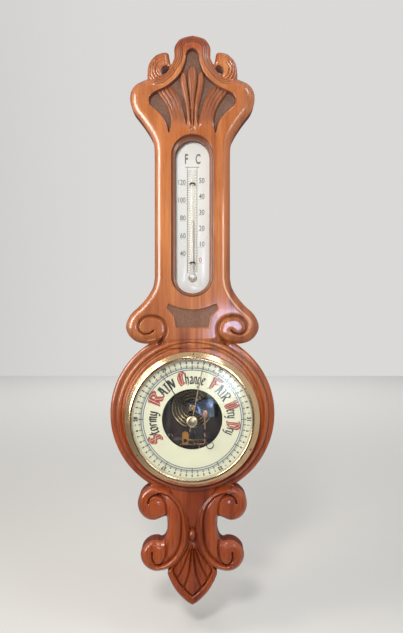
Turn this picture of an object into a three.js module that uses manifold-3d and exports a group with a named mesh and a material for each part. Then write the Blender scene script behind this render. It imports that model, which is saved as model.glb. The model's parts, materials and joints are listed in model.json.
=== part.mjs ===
// A carved oak banjo barometer with a thermometer, in millimetres.
// Built lying in a face frame (x across, y up, z out of the wall), then turned so that +Z is up
// and the front looks along -Y. The origin is the centre of the hanging hole, on the wall plane.

import * as THREE from 'three';
import * as BufferGeometryUtils from 'three/addons/utils/BufferGeometryUtils.js';
import Module from 'manifold-3d';

const wasm = await Module();
wasm.setup();

// Sides of round pieces, and steps of curves
const ringSides = 44;
const discSides = 20;
const rodSides = 14;
const boreSides = 12;
const screwSides = 8;
const wireSides = 6;
const grooveSides = 4;
const endSteps = 12;          // steps round each end of an oblong
const arcSteps = 7;
const springTurnSteps = 14;

// Clearances
const gap = 0.3;              // between pieces that seat on each other
const overrun = 2;            // how far a cutting tool runs past the face that it leaves

// Board
const boardThickness = 26;
const boardRounding = 6;      // rounding of the front edges
const crownRise = 29.8;       // crown above the hanging hole
const headHalfWidth = 83.3;
const headLength = 168.7;
const stemHalfWidth = 50.3;
const stemLength = 156.1;
const neckHalfWidth = 88.6;
const neckLength = 87.3;
const neckOverlap = 16.2;     // how far the ring reaches up behind the neck
const tailOverlap = 15;       // how far the scrolls reach up behind the ring
const tailHalfWidth = 72.8;
const tailLength = 160.1;

// Carving depths, below the board's front face
const earDrop = 3;
const recessDepth = 7;
const leafDrop = 2;
const petalRise = 1;          // petals above the side leaves
const plaqueDepth = 2;
const grooveWidth = 3.4;
const scrollDrop = 1;
const scrollRounding = 3.5;
const coveDepth = 5;
const webDrop = 11;
const dropRimDrop = 5;
const dropFloorDrop = 10;
const petalDrop = 7;

// Ring round the dial
const ringBorder = 21.6;      // wood outside the bezel
const ringLedgeWidth = 8.3;
const ringLedgeDrop = 8;
const ringCentreRise = 4;     // the turned ring's centre sits a little above the dial's
const ringFaceWidth = 8;
const beadWidth = 3.4;
const beadRise = 1.1;
const rebateDepth = 1.5;      // shallow seat of the bezel in the ring

// Thermometer
const windowHalfWidth = 23;
const windowLength = 206;
const windowBevel = 4.7;
const windowTopBelowHook = 109.2;
const plateThickness = 4;
const plateMargin = 3;        // how far the opal plate reaches behind the window's edge
const backingThickness = 3.2;
const backingMargin = 7;      // how far the backing reaches past the plate
const tubeRadius = 2.85;
const tubeBore = 1.35;
const tubeTopInset = 43;      // tube's top below the window's top
const bulbInset = 22;         // bulb's centre above the window's bottom
const bulbRadius = 5.6;
const bulbWall = 0.8;
const mercuryRadius = 1;
const mercuryHeight = 78;     // column above the bulb's centre
const clipWire = 1;
const clipFoot = 3.2;
const clipShares = [0.105, 0.86];  // places of the clips along the tube, from its top

// Dial, bezel and glass
const canRadius = 72;
const canWall = 0.8;
const canFlange = 10.5;
const canBackInset = 3;       // can's back in front of the wall plane
const dialOverhang = 8.2;     // dial past the can's rim
const dialThickness = 0.8;
const dialOpening = 39.5;
const glassThickness = 2.4;
const glassBevel = 5;
const bezelWall = 1.2;
const bezelSlope = 7.9;       // width of the sloping face
const bezelLip = 2.2;         // lip over the glass
const bezelFoot = 3;
const retainerSection = 1.3;
const bezelPinRadius = 0.9;
const bezelPinHead = 1.6;
const bezelPinDepth = 8;      // in the wood
const bezelPinAngles = [89, 213, 333];
const pinDomeShare = 0.7;

// Hands
const pressureHandLength = 73.5;
const pressureHandTail = 42.8;
const pressureHandRing = 5.2;
const pressureHandWidth = 1.7;
const pressureHandAngle = 34.6;  // left of upright, in degrees
const setHandLength = 72;
const setHandTail = 16;
const setHandWidth = 1.5;
const setHandAngle = -11.4;      // right of upright, in degrees
const handThickness = 0.5;
const handHub = 3;
const handClearance = 0.7;       // dial to pressure hand
const collarThickness = 0.6;
const spindleRadius = 1.6;
const knobRadius = 7;
const knobHeight = 12;
// The knob's outline above the glass: [share of its radius, share of its height]
const knobShares = [
  [0.75, 0], [0.75, 0.1], [0.45, 0.22], [0.45, 0.42], [0.9, 0.55], [1, 0.66], [1, 0.85],
  [0.85, 0.96], [0.45, 1],
];
const bladeBellyShare = 0.6;     // where the pressure hand is widest
const bladeTaperShare = 0.85;    // where both hands start to run to their points
const bladeSwellShare = 1.2;
const tailFlareShare = 1.6;
const ringWallShare = 0.8;
const collarRadius = 4;

// Movement
const baseRadius = 62;
const baseThickness = 1.5;
const baseScrewRing = 54;
const baseScrewAngles = [90, 210, 330];
const capsuleRadius = 29;
const capsuleHeight = 6;
const capsuleRise = 13;          // capsule's centre above the arbor
const capsuleBoss = 5;
const capsuleSeat = 2;           // capsule above the spring's lower leg
const corrugationDepth = 0.8;
const corrugationShares = [0.93, 0.85, 0.77, 0.69, 0.61, 0.53, 0.45, 0.37, 0.29];
const capsuleEdgeShare = 0.2;
const postFootShare = 0.8;
const collarHeightShare = 0.7;
const collarTopShare = 0.8;
const postRadius = 1.8;
const collarOfPost = 5;
const springWidth = 24;
const springThickness = 2;
const springOuterRadius = 8.3;
const springReach = 26.5;        // centre of the spring's bend from the arbor
const springTip = 6;             // upper leg past the capsule's post
const springFoot = 8;            // lower leg past the capsule's post
const springScrewAcross = 18;
const springScrewSpacing = 14;
const leverAcross = 16.6;
const leverRadius = 1.1;
const leverLength = 43;
const leverFootLength = 11;
const leverFootWidth = 6;
const linkRadius = 0.6;
const shaftRadius = 1.5;
const shaftDrop = 37;            // rocking shaft below the arbor
const shaftHeight = 16;          // rocking shaft above the wall plane
const shaftLeft = 15;
const shaftRight = 20;
const shortArm = 4;
const armThickness = 1.4;
const chainAcross = 9;
const chainRadius = 0.45;
const bracketThickness = 1.5;
const bracketDepth = 9;
const bridgeThickness = 1.2;
const bridgeWidth = 8;
const bridgeAboveSpring = 4.7;
const bridgeLeft = 9;
const bridgeLeftDrop = 29;
const bridgeRight = 24;
const bridgeRightDrop = 24;
const pillarRadius = 2.4;
const arborRadius = 0.9;
const arborBack = 6;             // arbor behind the bridge
const drumRadius = 1.5;
const drumLength = 2;
const drumSeat = 0.7;            // drum in front of the bridge
const dialAboveDrum = 1.2;
const hairspringInner = 1.6;
const hairspringPitch = 0.9;
const hairspringTurns = 4;
const hairspringWire = 0.4;
const hairspringWidth = 0.8;
const adjustingRadius = 2.6;
const adjustingLeft = 30;
const adjustingDrop = 28;

// Fasteners
const screwHead = 2.4;
const screwHeadHeight = 1.3;
const screwShank = 1.1;
const screwSlot = 0.6;
const headTopShare = 0.8;
const pillarScrewLength = 4;
const woodScrewHead = 3.2;
const woodScrewShank = 1.5;
const woodScrewLength = 11;

// Hanger
const hangerWidth = 20;
const hangerTop = 22;
const hangerBottom = 34;
const hangerThickness = 1.5;
const hangingHole = 5;
const hangerPocket = 8;          // depth of the pocket for the hook
const hangerScrewUp = 14;
const hangerScrewDown = 25;

// Outlines, as shares of the sizes that they follow: [across, down from the region's top]
const crownShares = [
  [0, 0], [0.11, 0.012], [0.19, 0.027], [0.23, 0.045], [0.27, 0.075], [0.29, 0.106],
  [0.29, 0.137], [0.29, 0.176], [0.32, 0.216], [0.35, 0.235], [0.42, 0.286], [0.48, 0.314],
  [0.52, 0.33],
];
const earShares = [
  [0.38, 0.25], [0.38, 0.216], [0.38, 0.176], [0.39, 0.141], [0.43, 0.132], [0.5, 0.136],
  [0.57, 0.149], [0.65, 0.184], [0.7, 0.227], [0.72, 0.278], [0.72, 0.34], [0.66, 0.4],
  [0.5, 0.36], [0.42, 0.3],
];
const earHoleShare = [0.437, 0.269];
const earHoleLengthShare = 0.092;
const earHoleWidthShare = 0.051;
// From the stem's side to the full half width
const shoulderShares = [
  [0.28, 0.345], [0.48, 0.361], [0.72, 0.384], [0.88, 0.416], [0.98, 0.459], [1, 0.506],
  [0.96, 0.553], [0.84, 0.604], [0.64, 0.655], [0.46, 0.702], [0.3, 0.749], [0.16, 0.796],
  [0.06, 0.843], [0.01, 0.906], [0, 1],
];
const flareShares = [
  [0, 0], [0.05, 0.121], [0.17, 0.227], [0.34, 0.333], [0.55, 0.432], [0.76, 0.515],
  [0.91, 0.606], [1, 0.712], [0.98, 0.803], [0.86, 0.894], [0.67, 0.962], [0.41, 0.997],
  [0.17, 1], [-0.07, 0.98], [-0.24, 0.96], [-0.4, 1.05],
];
const recessShares = [
  [0, 0.118], [0.06, 0.129], [0.1, 0.161], [0.11, 0.208], [0.14, 0.255], [0.18, 0.302],
  [0.24, 0.341], [0.32, 0.38], [0.41, 0.416], [0.52, 0.443], [0.62, 0.467], [0.68, 0.498],
  [0.69, 0.529], [0.67, 0.561], [0.59, 0.596], [0.51, 0.635], [0.44, 0.682], [0.4, 0.733],
  [0.38, 0.788], [0.3, 0.785], [0.15, 0.775], [0, 0.77],
];
const sideLeafShares = [
  [0.09, 0.74], [0.12, 0.66], [0.15, 0.58], [0.2, 0.51], [0.28, 0.44], [0.36, 0.42],
  [0.46, 0.44], [0.58, 0.475], [0.52, 0.51], [0.44, 0.553], [0.38, 0.608], [0.35, 0.671],
  [0.35, 0.733], [0.36, 0.8], [0.2, 0.8],
];
const centrePetalShares = [
  [0, 0.247], [0.04, 0.26], [0.07, 0.294], [0.06, 0.36], [0.045, 0.45], [0.03, 0.57],
  [0.02, 0.7], [0, 0.8],
];
const outerPetalShares = [
  [0.1, 0.31], [0.16, 0.31], [0.19, 0.36], [0.18, 0.42], [0.14, 0.5], [0.1, 0.6], [0.08, 0.72],
  [0.05, 0.79], [0.035, 0.7], [0.05, 0.57], [0.07, 0.45], [0.09, 0.37],
];
const plaqueShares = [
  [0, 0.48], [0.18, 0.455], [0.36, 0.388], [0.39, 0.467], [0.33, 0.523], [0.28, 0.598],
  [0.26, 0.712], [0.25, 0.761],
];
const neckGrooveShares = [
  [0.48, 0.962], [0.41, 0.864], [0.39, 0.773], [0.42, 0.674], [0.49, 0.609], [0.6, 0.58],
  [0.71, 0.598], [0.78, 0.652], [0.81, 0.735], [0.79, 0.811], [0.72, 0.853], [0.64, 0.841],
  [0.58, 0.798],
];
const scrollShares = [
  [0.49, 0.021], [0.64, 0.002], [0.76, 0.004], [0.87, 0.029], [0.96, 0.074], [1, 0.132],
  [0.99, 0.19], [0.93, 0.244], [0.82, 0.281], [0.69, 0.289], [0.58, 0.27], [0.49, 0.26],
  [0.46, 0.3], [0.46, 0.355], [0.48, 0.413], [0.52, 0.452], [0.58, 0.468], [0.64, 0.459],
  [0.75, 0.463], [0.85, 0.488], [0.93, 0.533], [0.95, 0.587], [0.91, 0.645], [0.82, 0.69],
  [0.69, 0.715], [0.56, 0.711], [0.47, 0.7], [0.34, 0.668], [0.23, 0.612], [0.15, 0.554],
  [0.09, 0.488], [0.07, 0.405], [0.09, 0.331], [0.12, 0.256], [0.17, 0.19], [0.25, 0.132],
  [0.36, 0.074], [0.42, 0.04],
];
const scrollRibShares = [
  [0.8, 0.16], [0.78, 0.1], [0.68, 0.075], [0.5, 0.09], [0.33, 0.16], [0.22, 0.25],
  [0.17, 0.34], [0.17, 0.42], [0.2, 0.5], [0.29, 0.57], [0.42, 0.63], [0.56, 0.66],
  [0.7, 0.65], [0.77, 0.6],
];
const scrollRibWidthShare = 0.13;
const topVoluteShare = [0.71, 0.185];
const topVoluteRadiusShare = 0.2;
const lowVoluteShare = [0.68, 0.585];
const lowVoluteRadiusShare = 0.19;
const webShares = [
  [0, -0.04], [0.42, 0], [0.3, 0.12], [0.2, 0.22], [0.14, 0.33], [0.12, 0.45], [0.16, 0.54],
  [0.1, 0.6], [0, 0.6],
];
const dropShares = [
  [0, 0.48], [0.09, 0.5], [0.2, 0.59], [0.34, 0.67], [0.45, 0.719], [0.43, 0.769],
  [0.37, 0.826], [0.29, 0.884], [0.19, 0.934], [0.09, 0.975], [0, 1],
];
const dropFloorShares = [
  [0, 0.56], [0.1, 0.585], [0.2, 0.64], [0.3, 0.69], [0.35, 0.72], [0.32, 0.775], [0.24, 0.835],
  [0.14, 0.884], [0, 0.93],
];
const dropPetalShares = [
  [0, 0.52], [0.03, 0.6], [0.05, 0.72], [0.09, 0.85], [0.05, 0.89], [0, 0.91],
];
const beadShare = [0, 0.413];
const beadRadiusShare = 0.075;
const beadTopShare = 0.6;
const voluteTopShare = 0.7;
const ribEndShare = 0.5;

// Levels above the wall plane
const front = boardThickness;
const canFront = canBackInset + canWall;
const baseBack = canFront + gap;
const baseFront = baseBack + baseThickness;
const springBack = baseFront + gap;
const springFront = springBack + 2 * springOuterRadius;
const bridgeBack = springFront + bridgeAboveSpring;
const bridgeFront = bridgeBack + bridgeThickness;
const drumBack = bridgeFront + drumSeat;
const drumFront = drumBack + drumLength;
const canRim = drumFront + dialAboveDrum - gap;
const dialBack = canRim + gap;
const dialFront = dialBack + dialThickness;
const pressureHandBack = dialFront + handClearance;
const setHandBack = pressureHandBack + 2 * handThickness + gap;
const collarBack = setHandBack + handThickness + gap;
const glassBack = collarBack + collarThickness + gap;
const glassFront = glassBack + glassThickness;
const bezelTop = glassFront + gap + bezelWall;
const rebateFloor = front - rebateDepth;

// Places down the board
const headTop = crownRise;
const headBottom = headTop - headLength;
const neckTop = headBottom - stemLength;
const neckBottom = neckTop - neckLength;
const dialRadius = canRadius + dialOverhang;
const bezelInner = dialRadius + gap + gap;
const bezelRadius = bezelInner + bezelSlope;
const ringRadius = bezelRadius + ringBorder;
const ringCentre = neckBottom - ringRadius + neckOverlap;
const dialCentre = ringCentre - ringCentreRise;
const tailTop = ringCentre - ringRadius + tailOverlap;
const windowTop = -windowTopBelowHook;
const windowBottom = windowTop - windowLength;
const windowCentre = (windowTop + windowBottom) / 2;

// Materials
const finish = (color, roughness, metalness, more = {}) =>
  new THREE.MeshStandardMaterial({ color, roughness, metalness, ...more });
const oak = () => finish(0xa35f3c, 0.35, 0);
const plainOak = () => finish(0xb08a62, 0.7, 0);
const brass = () => finish(0xc9a04e, 0.28, 1);
const agedBrass = () => finish(0x9a7a44, 0.45, 1);
const copper = () => finish(0xb0683e, 0.35, 1);
const steel = () => finish(0xa9afb6, 0.22, 1);
const blackSteel = () => finish(0x1c1d20, 0.35, 1);
const darkPlate = () => finish(0x2b2522, 0.6, 0.5);
const ivory = () => finish(0xefe6c8, 0.45, 0);
const opal = () => finish(0xe9ece4, 0.2, 0);
const clearGlass = () => finish(0xdfe8ea, 0.05, 0, { transparent: true, opacity: 0.25 });
const mercury = () => finish(0xc8ccd2, 0.08, 1);

// Solids

function solidOf(geometry) {
  geometry.deleteAttribute('normal');
  geometry.deleteAttribute('uv');
  const merged = BufferGeometryUtils.mergeVertices(geometry);
  const corners = merged.index.array;
  const kept = [];
  for (let i = 0; i < corners.length; i += 3) {
    const [a, b, c] = corners.slice(i, i + 3);
    if (a !== b && b !== c && c !== a) {
      kept.push(a, b, c);
    }
  }
  return new wasm.Manifold(new wasm.Mesh({
    numProp: 3,
    vertProperties: new Float32Array(merged.attributes.position.array),
    triVerts: new Uint32Array(kept),
  }));
}

function geometryOf(solid) {
  const mesh = solid.getMesh();
  const geometry = new THREE.BufferGeometry();
  const points = new Float32Array(mesh.vertProperties);
  geometry.setAttribute('position', new THREE.BufferAttribute(points, mesh.numProp));
  geometry.setIndex(new THREE.BufferAttribute(new Uint32Array(mesh.triVerts), 1));
  return geometry;
}

const joined = (solids) => solids.reduce((whole, one) => whole.add(one));
const cutBy = (solid, tools) => tools.reduce((whole, tool) => whole.subtract(tool), solid);

// Outline points of a region, from shares of its half width and its length
const across = (shares, halfWidth, top, length) =>
  shares.map(([side, down]) => new THREE.Vector2(side * halfWidth, top - down * length));

// Outline points that start from an inner half width
const between = (shares, inner, outer, top, length) =>
  shares.map(([side, down]) => new THREE.Vector2(inner + side * (outer - inner), top - down * length));

const onHead = (shares) => across(shares, headHalfWidth, headTop, headLength);
const onNeck = (shares) => across(shares, neckHalfWidth, neckTop, neckLength);
const onTail = (shares) => across(shares, tailHalfWidth, tailTop, tailLength);

const mirrored = (points) => points.map((point) => new THREE.Vector2(-point.x, point.y)).reverse();
const bothHalves = (points) => [...points, ...mirrored(points)];

function smooth(points, steps) {
  return new THREE.SplineCurve(points).getPoints((points.length - 1) * steps);
}

function smoothLoop(points, steps) {
  const loop = new THREE.CatmullRomCurve3(
    points.map((point) => new THREE.Vector3(point.x, point.y, 0)), true, 'catmullrom');
  return loop.getPoints(points.length * steps).slice(0, -1)
    .map((point) => new THREE.Vector2(point.x, point.y));
}

// A plate with the outline of the points, between two levels, with its front edge rounded
function slab(points, back, top, rounding = 0, holes = [], bevelSegments = 1) {
  const shape = new THREE.Shape(points);
  holes.forEach((hole) => shape.holes.push(new THREE.Path(hole)));
  const rounded = rounding > 0;
  const geometry = new THREE.ExtrudeGeometry(shape, {
    depth: top - back,
    steps: 1,
    bevelEnabled: rounded,
    bevelThickness: rounding,
    bevelSize: rounding,
    bevelOffset: -rounding,
    bevelSegments,
  });
  geometry.translate(0, 0, back - rounding);
  return solidOf(geometry);
}

const overallReach = headLength + stemLength + neckLength + 2 * ringRadius + tailLength;

// The part of a slab that lies in front of a level
function trimmed(solid, level) {
  const below = new THREE.BoxGeometry(2 * overallReach, 2 * overallReach, overallReach);
  below.translate(0, dialCentre / 2, level - overallReach / 2);
  return solid.subtract(solidOf(below));
}
const circle = (x, y, radius, sides) =>
  Array.from({ length: sides }, (_, i) => {
    const angle = (2 * Math.PI * i) / sides;
    return new THREE.Vector2(x + radius * Math.cos(angle), y + radius * Math.sin(angle));
  });

// Points of an arc round a centre, both of its ends among them
const arc = (x, y, radius, from, to, steps) =>
  Array.from({ length: steps + 1 }, (_, i) => {
    const angle = from + ((to - from) * i) / steps;
    return new THREE.Vector2(x + radius * Math.cos(angle), y + radius * Math.sin(angle));
  });

// An upright outline with round ends
const oblong = (halfWidth, top, bottom) => [
  ...arc(0, top - halfWidth, halfWidth, 0, Math.PI, endSteps),
  ...arc(0, bottom + halfWidth, halfWidth, Math.PI, 2 * Math.PI, endSteps),
];

// A turned piece from [radius, level] pairs, its axis along z
function turned(profile, sides) {
  const points = profile.map(([radius, level]) => new THREE.Vector2(radius, level));
  const geometry = new THREE.LatheGeometry(points, sides);
  geometry.rotateX(Math.PI / 2);
  return solidOf(geometry);
}

const rod = (radius, back, top, sides) =>
  turned([[0, back], [radius, back], [radius, top], [0, top]], sides);

const moved = (solid, x, y, z = 0) => solid.translate([x, y, z]);

const box = (left, right, low, high, back, top) => {
  const geometry = new THREE.BoxGeometry(right - left, high - low, top - back);
  geometry.translate((left + right) / 2, (low + high) / 2, (back + top) / 2);
  return solidOf(geometry);
};

// A bar of round section along a route
function bar(points, radius, sides, steps) {
  const route = new THREE.CatmullRomCurve3(points);
  const section = new THREE.Shape(circle(0, 0, radius, sides));
  return solidOf(new THREE.ExtrudeGeometry(section, { steps, extrudePath: route, bevelEnabled: false }));
}

function groove(points, level, radius) {
  const route = points.map((point) => new THREE.Vector3(point.x, point.y, level));
  return bar(route, radius, grooveSides, points.length * 2);
}

// A band that follows a line at a changing width, full in its middle
function band(points, width, steps, endShare) {
  const line = new THREE.SplineCurve(points);
  const count = points.length * steps;
  const left = [];
  const right = [];
  for (let i = 0; i <= count; i += 1) {
    const t = i / count;
    const at = line.getPoint(t);
    const along = line.getTangent(t);
    const half = (width / 2) * (endShare + (1 - endShare) * Math.sin(Math.PI * t));
    left.push(new THREE.Vector2(at.x - along.y * half, at.y + along.x * half));
    right.push(new THREE.Vector2(at.x + along.y * half, at.y - along.x * half));
  }
  return [...left, ...right.reverse()];
}

const flipped = (solid) => solid.mirror([1, 0, 0]);
const bothSides = (solid) => [solid, flipped(solid)];

// Carved case

function upperBoard() {
  const half = [
    ...smooth(onHead(crownShares), 2),
    ...smooth(between(shoulderShares, stemHalfWidth, headHalfWidth, headTop, headLength), 2),
    ...smooth(between(flareShares, stemHalfWidth, neckHalfWidth, neckTop, neckLength), 2),
  ];
  half.shift();
  const top = new THREE.Vector2(0, headTop);
  const blank = slab([top, ...half, ...mirrored(half)], -boardRounding, front, boardRounding, [], 2);
  return trimmed(blank, 0);
}

function ears() {
  const ear = trimmed(slab(smoothLoop(onHead(earShares), 2), -overrun, front - earDrop, overrun), 0);
  const [holeSide, holeDown] = earHoleShare;
  const hole = circle(0, 0, 1, discSides).map((point) => {
    const along = point.x * earHoleLengthShare * headHalfWidth;
    const beside = point.y * earHoleWidthShare * headHalfWidth;
    return new THREE.Vector2(
      holeSide * headHalfWidth + (along + beside) * Math.SQRT1_2,
      headTop - holeDown * headLength + (beside - along) * Math.SQRT1_2,
    );
  });
  return {
    curls: bothSides(ear),
    holes: bothSides(slab(hole, -overrun, front + overrun)),
  };
}

function crownCarving() {
  const leafTop = front - leafDrop;
  const floor = front - recessDepth;
  const rounding = leafDrop / 2;
  const leaf = (shares, top) => slab(smoothLoop(onHead(shares), 1), floor - overrun, top, rounding);
  const petal = bothHalves(onHead(centrePetalShares)).slice(1);
  return {
    ground: slab(bothHalves(smooth(onHead(recessShares), 2)).slice(1), floor, front + overrun),
    leaves: [
      ...bothSides(leaf(sideLeafShares, leafTop)),
      ...bothSides(leaf(outerPetalShares, leafTop + petalRise)),
      slab(petal, floor - overrun, leafTop + petalRise, rounding),
    ],
  };
}

function ring() {
  const raised = ringRadius - ringLedgeWidth;
  const ledge = front - ringLedgeDrop;
  const faceInner = raised - ringFaceWidth;
  const well = canRadius + gap;
  const bore = canRadius - ringCentreRise - overrun;
  const low = front - beadRise;
  const profile = [
    [bore, 0], [ringRadius, 0], [ringRadius, ledge - beadWidth / 2], [ringRadius - beadWidth / 2, ledge],
    [raised, ledge], [raised, front - beadWidth], [raised - beadWidth, front],
    [faceInner + beadRise, front], [faceInner, low], [faceInner - beadWidth / 2, front],
    [faceInner - beadWidth, low], [bore, low], [bore, 0],
  ];
  const tools = [
    rod(well, -overrun, front + overrun, ringSides),
    rod(bezelRadius + gap, rebateFloor, front + overrun, ringSides),
  ];
  return {
    wood: moved(turned(profile, ringSides), 0, ringCentre),
    inside: moved(rod(raised - beadWidth, -overrun, front + overrun, ringSides), 0, ringCentre),
    wells: tools.map((tool) => moved(tool, 0, dialCentre)),
  };
}

function scrolls() {
  const body = smoothLoop(onTail(scrollShares), 1);
  const low = trimmed(slab(body, -scrollRounding, front - coveDepth, scrollRounding), 0);
  const rib = band(onTail(scrollRibShares), scrollRibWidthShare * tailHalfWidth, 2, ribEndShare);
  const high = slab(rib, front - coveDepth - overrun, front - scrollDrop, overrun);
  const volute = ([side, down], radius) => moved(
    turned([
      [0, front - coveDepth - overrun], [radius, front - coveDepth - overrun],
      [radius, front - coveDepth], [radius * voluteTopShare, front - scrollDrop - overrun],
      [0, front - scrollDrop],
    ], discSides),
    side * tailHalfWidth, tailTop - down * tailLength);
  const side = joined([
    low, high,
    volute(topVoluteShare, topVoluteRadiusShare * tailHalfWidth),
    volute(lowVoluteShare, lowVoluteRadiusShare * tailHalfWidth),
  ]);
  return bothSides(side);
}

function tailMiddle() {
  const web = slab(bothHalves(onTail(webShares)).slice(1, -1), 0, front - webDrop);
  const outer = bothHalves(onTail(dropShares)).slice(1, -1);
  const rim = slab(outer, 0, front - dropRimDrop);
  const floor = slab(bothHalves(onTail(dropFloorShares)).slice(1, -1), front - dropFloorDrop, front);
  const petal = slab(bothHalves(onTail(dropPetalShares)).slice(1, -1), 0, front - petalDrop);
  const [, beadDown] = beadShare;
  const radius = beadRadiusShare * tailHalfWidth;
  const bead = moved(
    turned([
      [0, 0], [radius, 0], [radius, front - webDrop], [radius * beadTopShare, front - dropRimDrop],
      [0, front - dropRimDrop + beadRise],
    ], rodSides),
    0, tailTop - beadDown * tailLength);
  return joined([web, rim.subtract(floor), petal, bead]);
}

function windowCuts() {
  const opening = oblong(windowHalfWidth, windowTop, windowBottom);
  const mouth = oblong(windowHalfWidth + windowBevel, windowTop + windowBevel,
    windowBottom - windowBevel);
  const through = slab(opening, -overrun, front + overrun);
  const flare = slab(mouth, front - windowBevel, front + windowBevel, windowBevel);
  const plateSeat = slab(plateOutline(gap), -overrun, plateBack + plateThickness + gap);
  const backingSeat = slab(backingOutline(gap), -overrun, backingThickness + gap);
  return [through, flare, plateSeat, backingSeat];
}

const plateBack = backingThickness + gap;

const plateOutline = (spare) => oblong(windowHalfWidth + plateMargin + spare,
  windowTop + plateMargin + spare, windowBottom - plateMargin - spare);

const backingOutline = (spare) => {
  const side = windowHalfWidth + plateMargin + backingMargin + spare;
  const top = windowTop + plateMargin + backingMargin + spare;
  const bottom = windowBottom - plateMargin - backingMargin - spare;
  return [[side, top], [-side, top], [-side, bottom], [side, bottom]]
    .map(([x, y]) => new THREE.Vector2(x, y));
};

const hangerOutline = (spare) => {
  const side = hangerWidth / 2 + spare;
  return oblong(side, hangerTop + spare, -hangerBottom - spare);
};

const backingScrewPlaces = [-1, 1].flatMap((side) => [-1, 1].map((end) => [
  side * (windowHalfWidth + plateMargin + backingMargin / 2),
  windowCentre + end * (windowLength / 2 + plateMargin + backingMargin / 2),
]));

const hangerScrewPlaces = [[0, hangerScrewUp], [0, -hangerScrewDown]];

const bezelPinPlaces = bezelPinAngles.map((degrees) => {
  const angle = THREE.MathUtils.degToRad(degrees);
  const radius = bezelRadius - bezelFoot - gap;
  return [radius * Math.cos(angle), dialCentre + radius * Math.sin(angle)];
});

const woodScrewHole = ([x, y]) =>
  moved(rod(woodScrewShank + gap, -overrun, woodScrewLength + gap, screwSides), x, y);

function carvedCase() {
  const { curls, holes } = ears();
  const { ground, leaves } = crownCarving();
  const { wood, inside, wells } = ring();
  const plaqueHalf = onNeck(plaqueShares);
  const plaque = slab(bothHalves(plaqueHalf).slice(1), front - plaqueDepth, front + overrun);
  const voluteGrooves = bothSides(groove(smooth(onNeck(neckGrooveShares), 1), front, grooveWidth / 2));
  const upper = cutBy(joined([upperBoard(), ...curls]), [ground, plaque, ...voluteGrooves, inside, ...holes]);
  const blank = joined([upper, ...leaves, tailMiddle(), ...scrolls()]);
  const opened = cutBy(blank, [
    inside,
    ...windowCuts(),
    slab(hangerOutline(gap), -overrun, hangerThickness + gap),
    rod(hangingHole + overrun, -overrun, hangerPocket, discSides),
    ...backingScrewPlaces.map(woodScrewHole),
    ...hangerScrewPlaces.map(woodScrewHole),
  ]);
  const pinHoles = bezelPinPlaces.map(([x, y]) => moved(
    rod(bezelPinRadius + gap, rebateFloor - bezelPinDepth - gap, front + overrun, screwSides), x, y));
  return cutBy(opened.add(wood), [...wells, ...pinHoles]);
}

// Thermometer

const tubeTop = windowTop - tubeTopInset;
const bulbCentre = windowBottom + bulbInset;
const plateFront = plateBack + plateThickness;
const tubeLevel = plateFront + gap + tubeRadius;

function thermometerPlate() {
  const holes = [circle(0, bulbCentre, bulbRadius + gap, discSides)];
  return slab(plateOutline(0), plateBack, plateFront, 0, holes);
}

// A round end of a bulb from its lowest point on the axis up to an angle
function bulbEnd(radius, high) {
  const [, ...rest] = arc(0, 0, radius, -Math.PI / 2, high, arcSteps);
  return [new THREE.Vector2(0, -radius), ...rest];
}

// A turned piece whose axis runs up the board
const upright = (points, sides) => solidOf(new THREE.LatheGeometry(points, sides));

function thermometerTube() {
  const neckAngle = Math.acos(tubeRadius / bulbRadius);
  const boreAngle = Math.acos(tubeBore / (bulbRadius - bulbWall));
  const height = tubeTop - bulbCentre;
  return upright([
    ...bulbEnd(bulbRadius, neckAngle),
    new THREE.Vector2(tubeRadius, height), new THREE.Vector2(tubeBore, height),
    ...bulbEnd(bulbRadius - bulbWall, boreAngle).reverse(),
  ], rodSides);
}

function mercuryColumn() {
  const radius = bulbRadius - bulbWall - gap;
  return upright([
    ...bulbEnd(radius, Math.acos(mercuryRadius / radius)),
    new THREE.Vector2(mercuryRadius, mercuryHeight), new THREE.Vector2(0, mercuryHeight),
  ], screwSides);
}

function tubeClip() {
  const inner = tubeRadius + gap;
  const outer = inner + clipWire;
  const foot = plateFront + gap - tubeLevel;
  const outline = [
    new THREE.Vector2(outer + clipFoot, foot), new THREE.Vector2(outer + clipFoot, foot + clipWire),
    new THREE.Vector2(outer, foot + clipWire), ...arc(0, 0, outer, 0, Math.PI, arcSteps),
    new THREE.Vector2(-outer, foot + clipWire), new THREE.Vector2(-outer - clipFoot, foot + clipWire),
    new THREE.Vector2(-outer - clipFoot, foot), new THREE.Vector2(-inner, foot),
    ...arc(0, 0, inner, Math.PI, 0, arcSteps), new THREE.Vector2(inner, foot),
  ];
  return slab(outline, 0, clipWire);
}

// Screws, with the underside of the head at zero and the shank behind it

function machineScrew(length) {
  const body = turned([
    [0, -length], [screwShank, -length], [screwShank, 0], [screwHead, 0],
    [screwHead, screwHeadHeight / 2], [screwHead * headTopShare, screwHeadHeight], [0, screwHeadHeight],
  ], screwSides);
  const slot = box(-screwHead - overrun, screwHead + overrun, -screwSlot / 2, screwSlot / 2,
    screwHeadHeight / 2, screwHeadHeight + overrun);
  return body.subtract(slot);
}

// A countersunk wood screw, its head's face at zero and its point in front
function woodScrew() {
  const cone = woodScrewHead - woodScrewShank;
  const body = turned([
    [0, 0], [woodScrewHead, 0], [woodScrewShank, cone], [woodScrewShank, woodScrewLength - cone],
    [0, woodScrewLength],
  ], boreSides);
  const slot = box(-woodScrewHead - overrun, woodScrewHead + overrun, -screwSlot / 2, screwSlot / 2,
    -overrun, cone / 2);
  return body.subtract(slot);
}

const countersink = ([x, y]) => moved(turned([
  [0, -overrun], [woodScrewHead + gap + overrun, -overrun],
  [woodScrewShank + gap, woodScrewHead - woodScrewShank],
  [woodScrewShank + gap, woodScrewLength], [0, woodScrewLength],
], boreSides), x, y);

function backingBoard() {
  const board = slab(backingOutline(0), 0, backingThickness);
  return cutBy(board, backingScrewPlaces.map(countersink));
}

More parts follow.
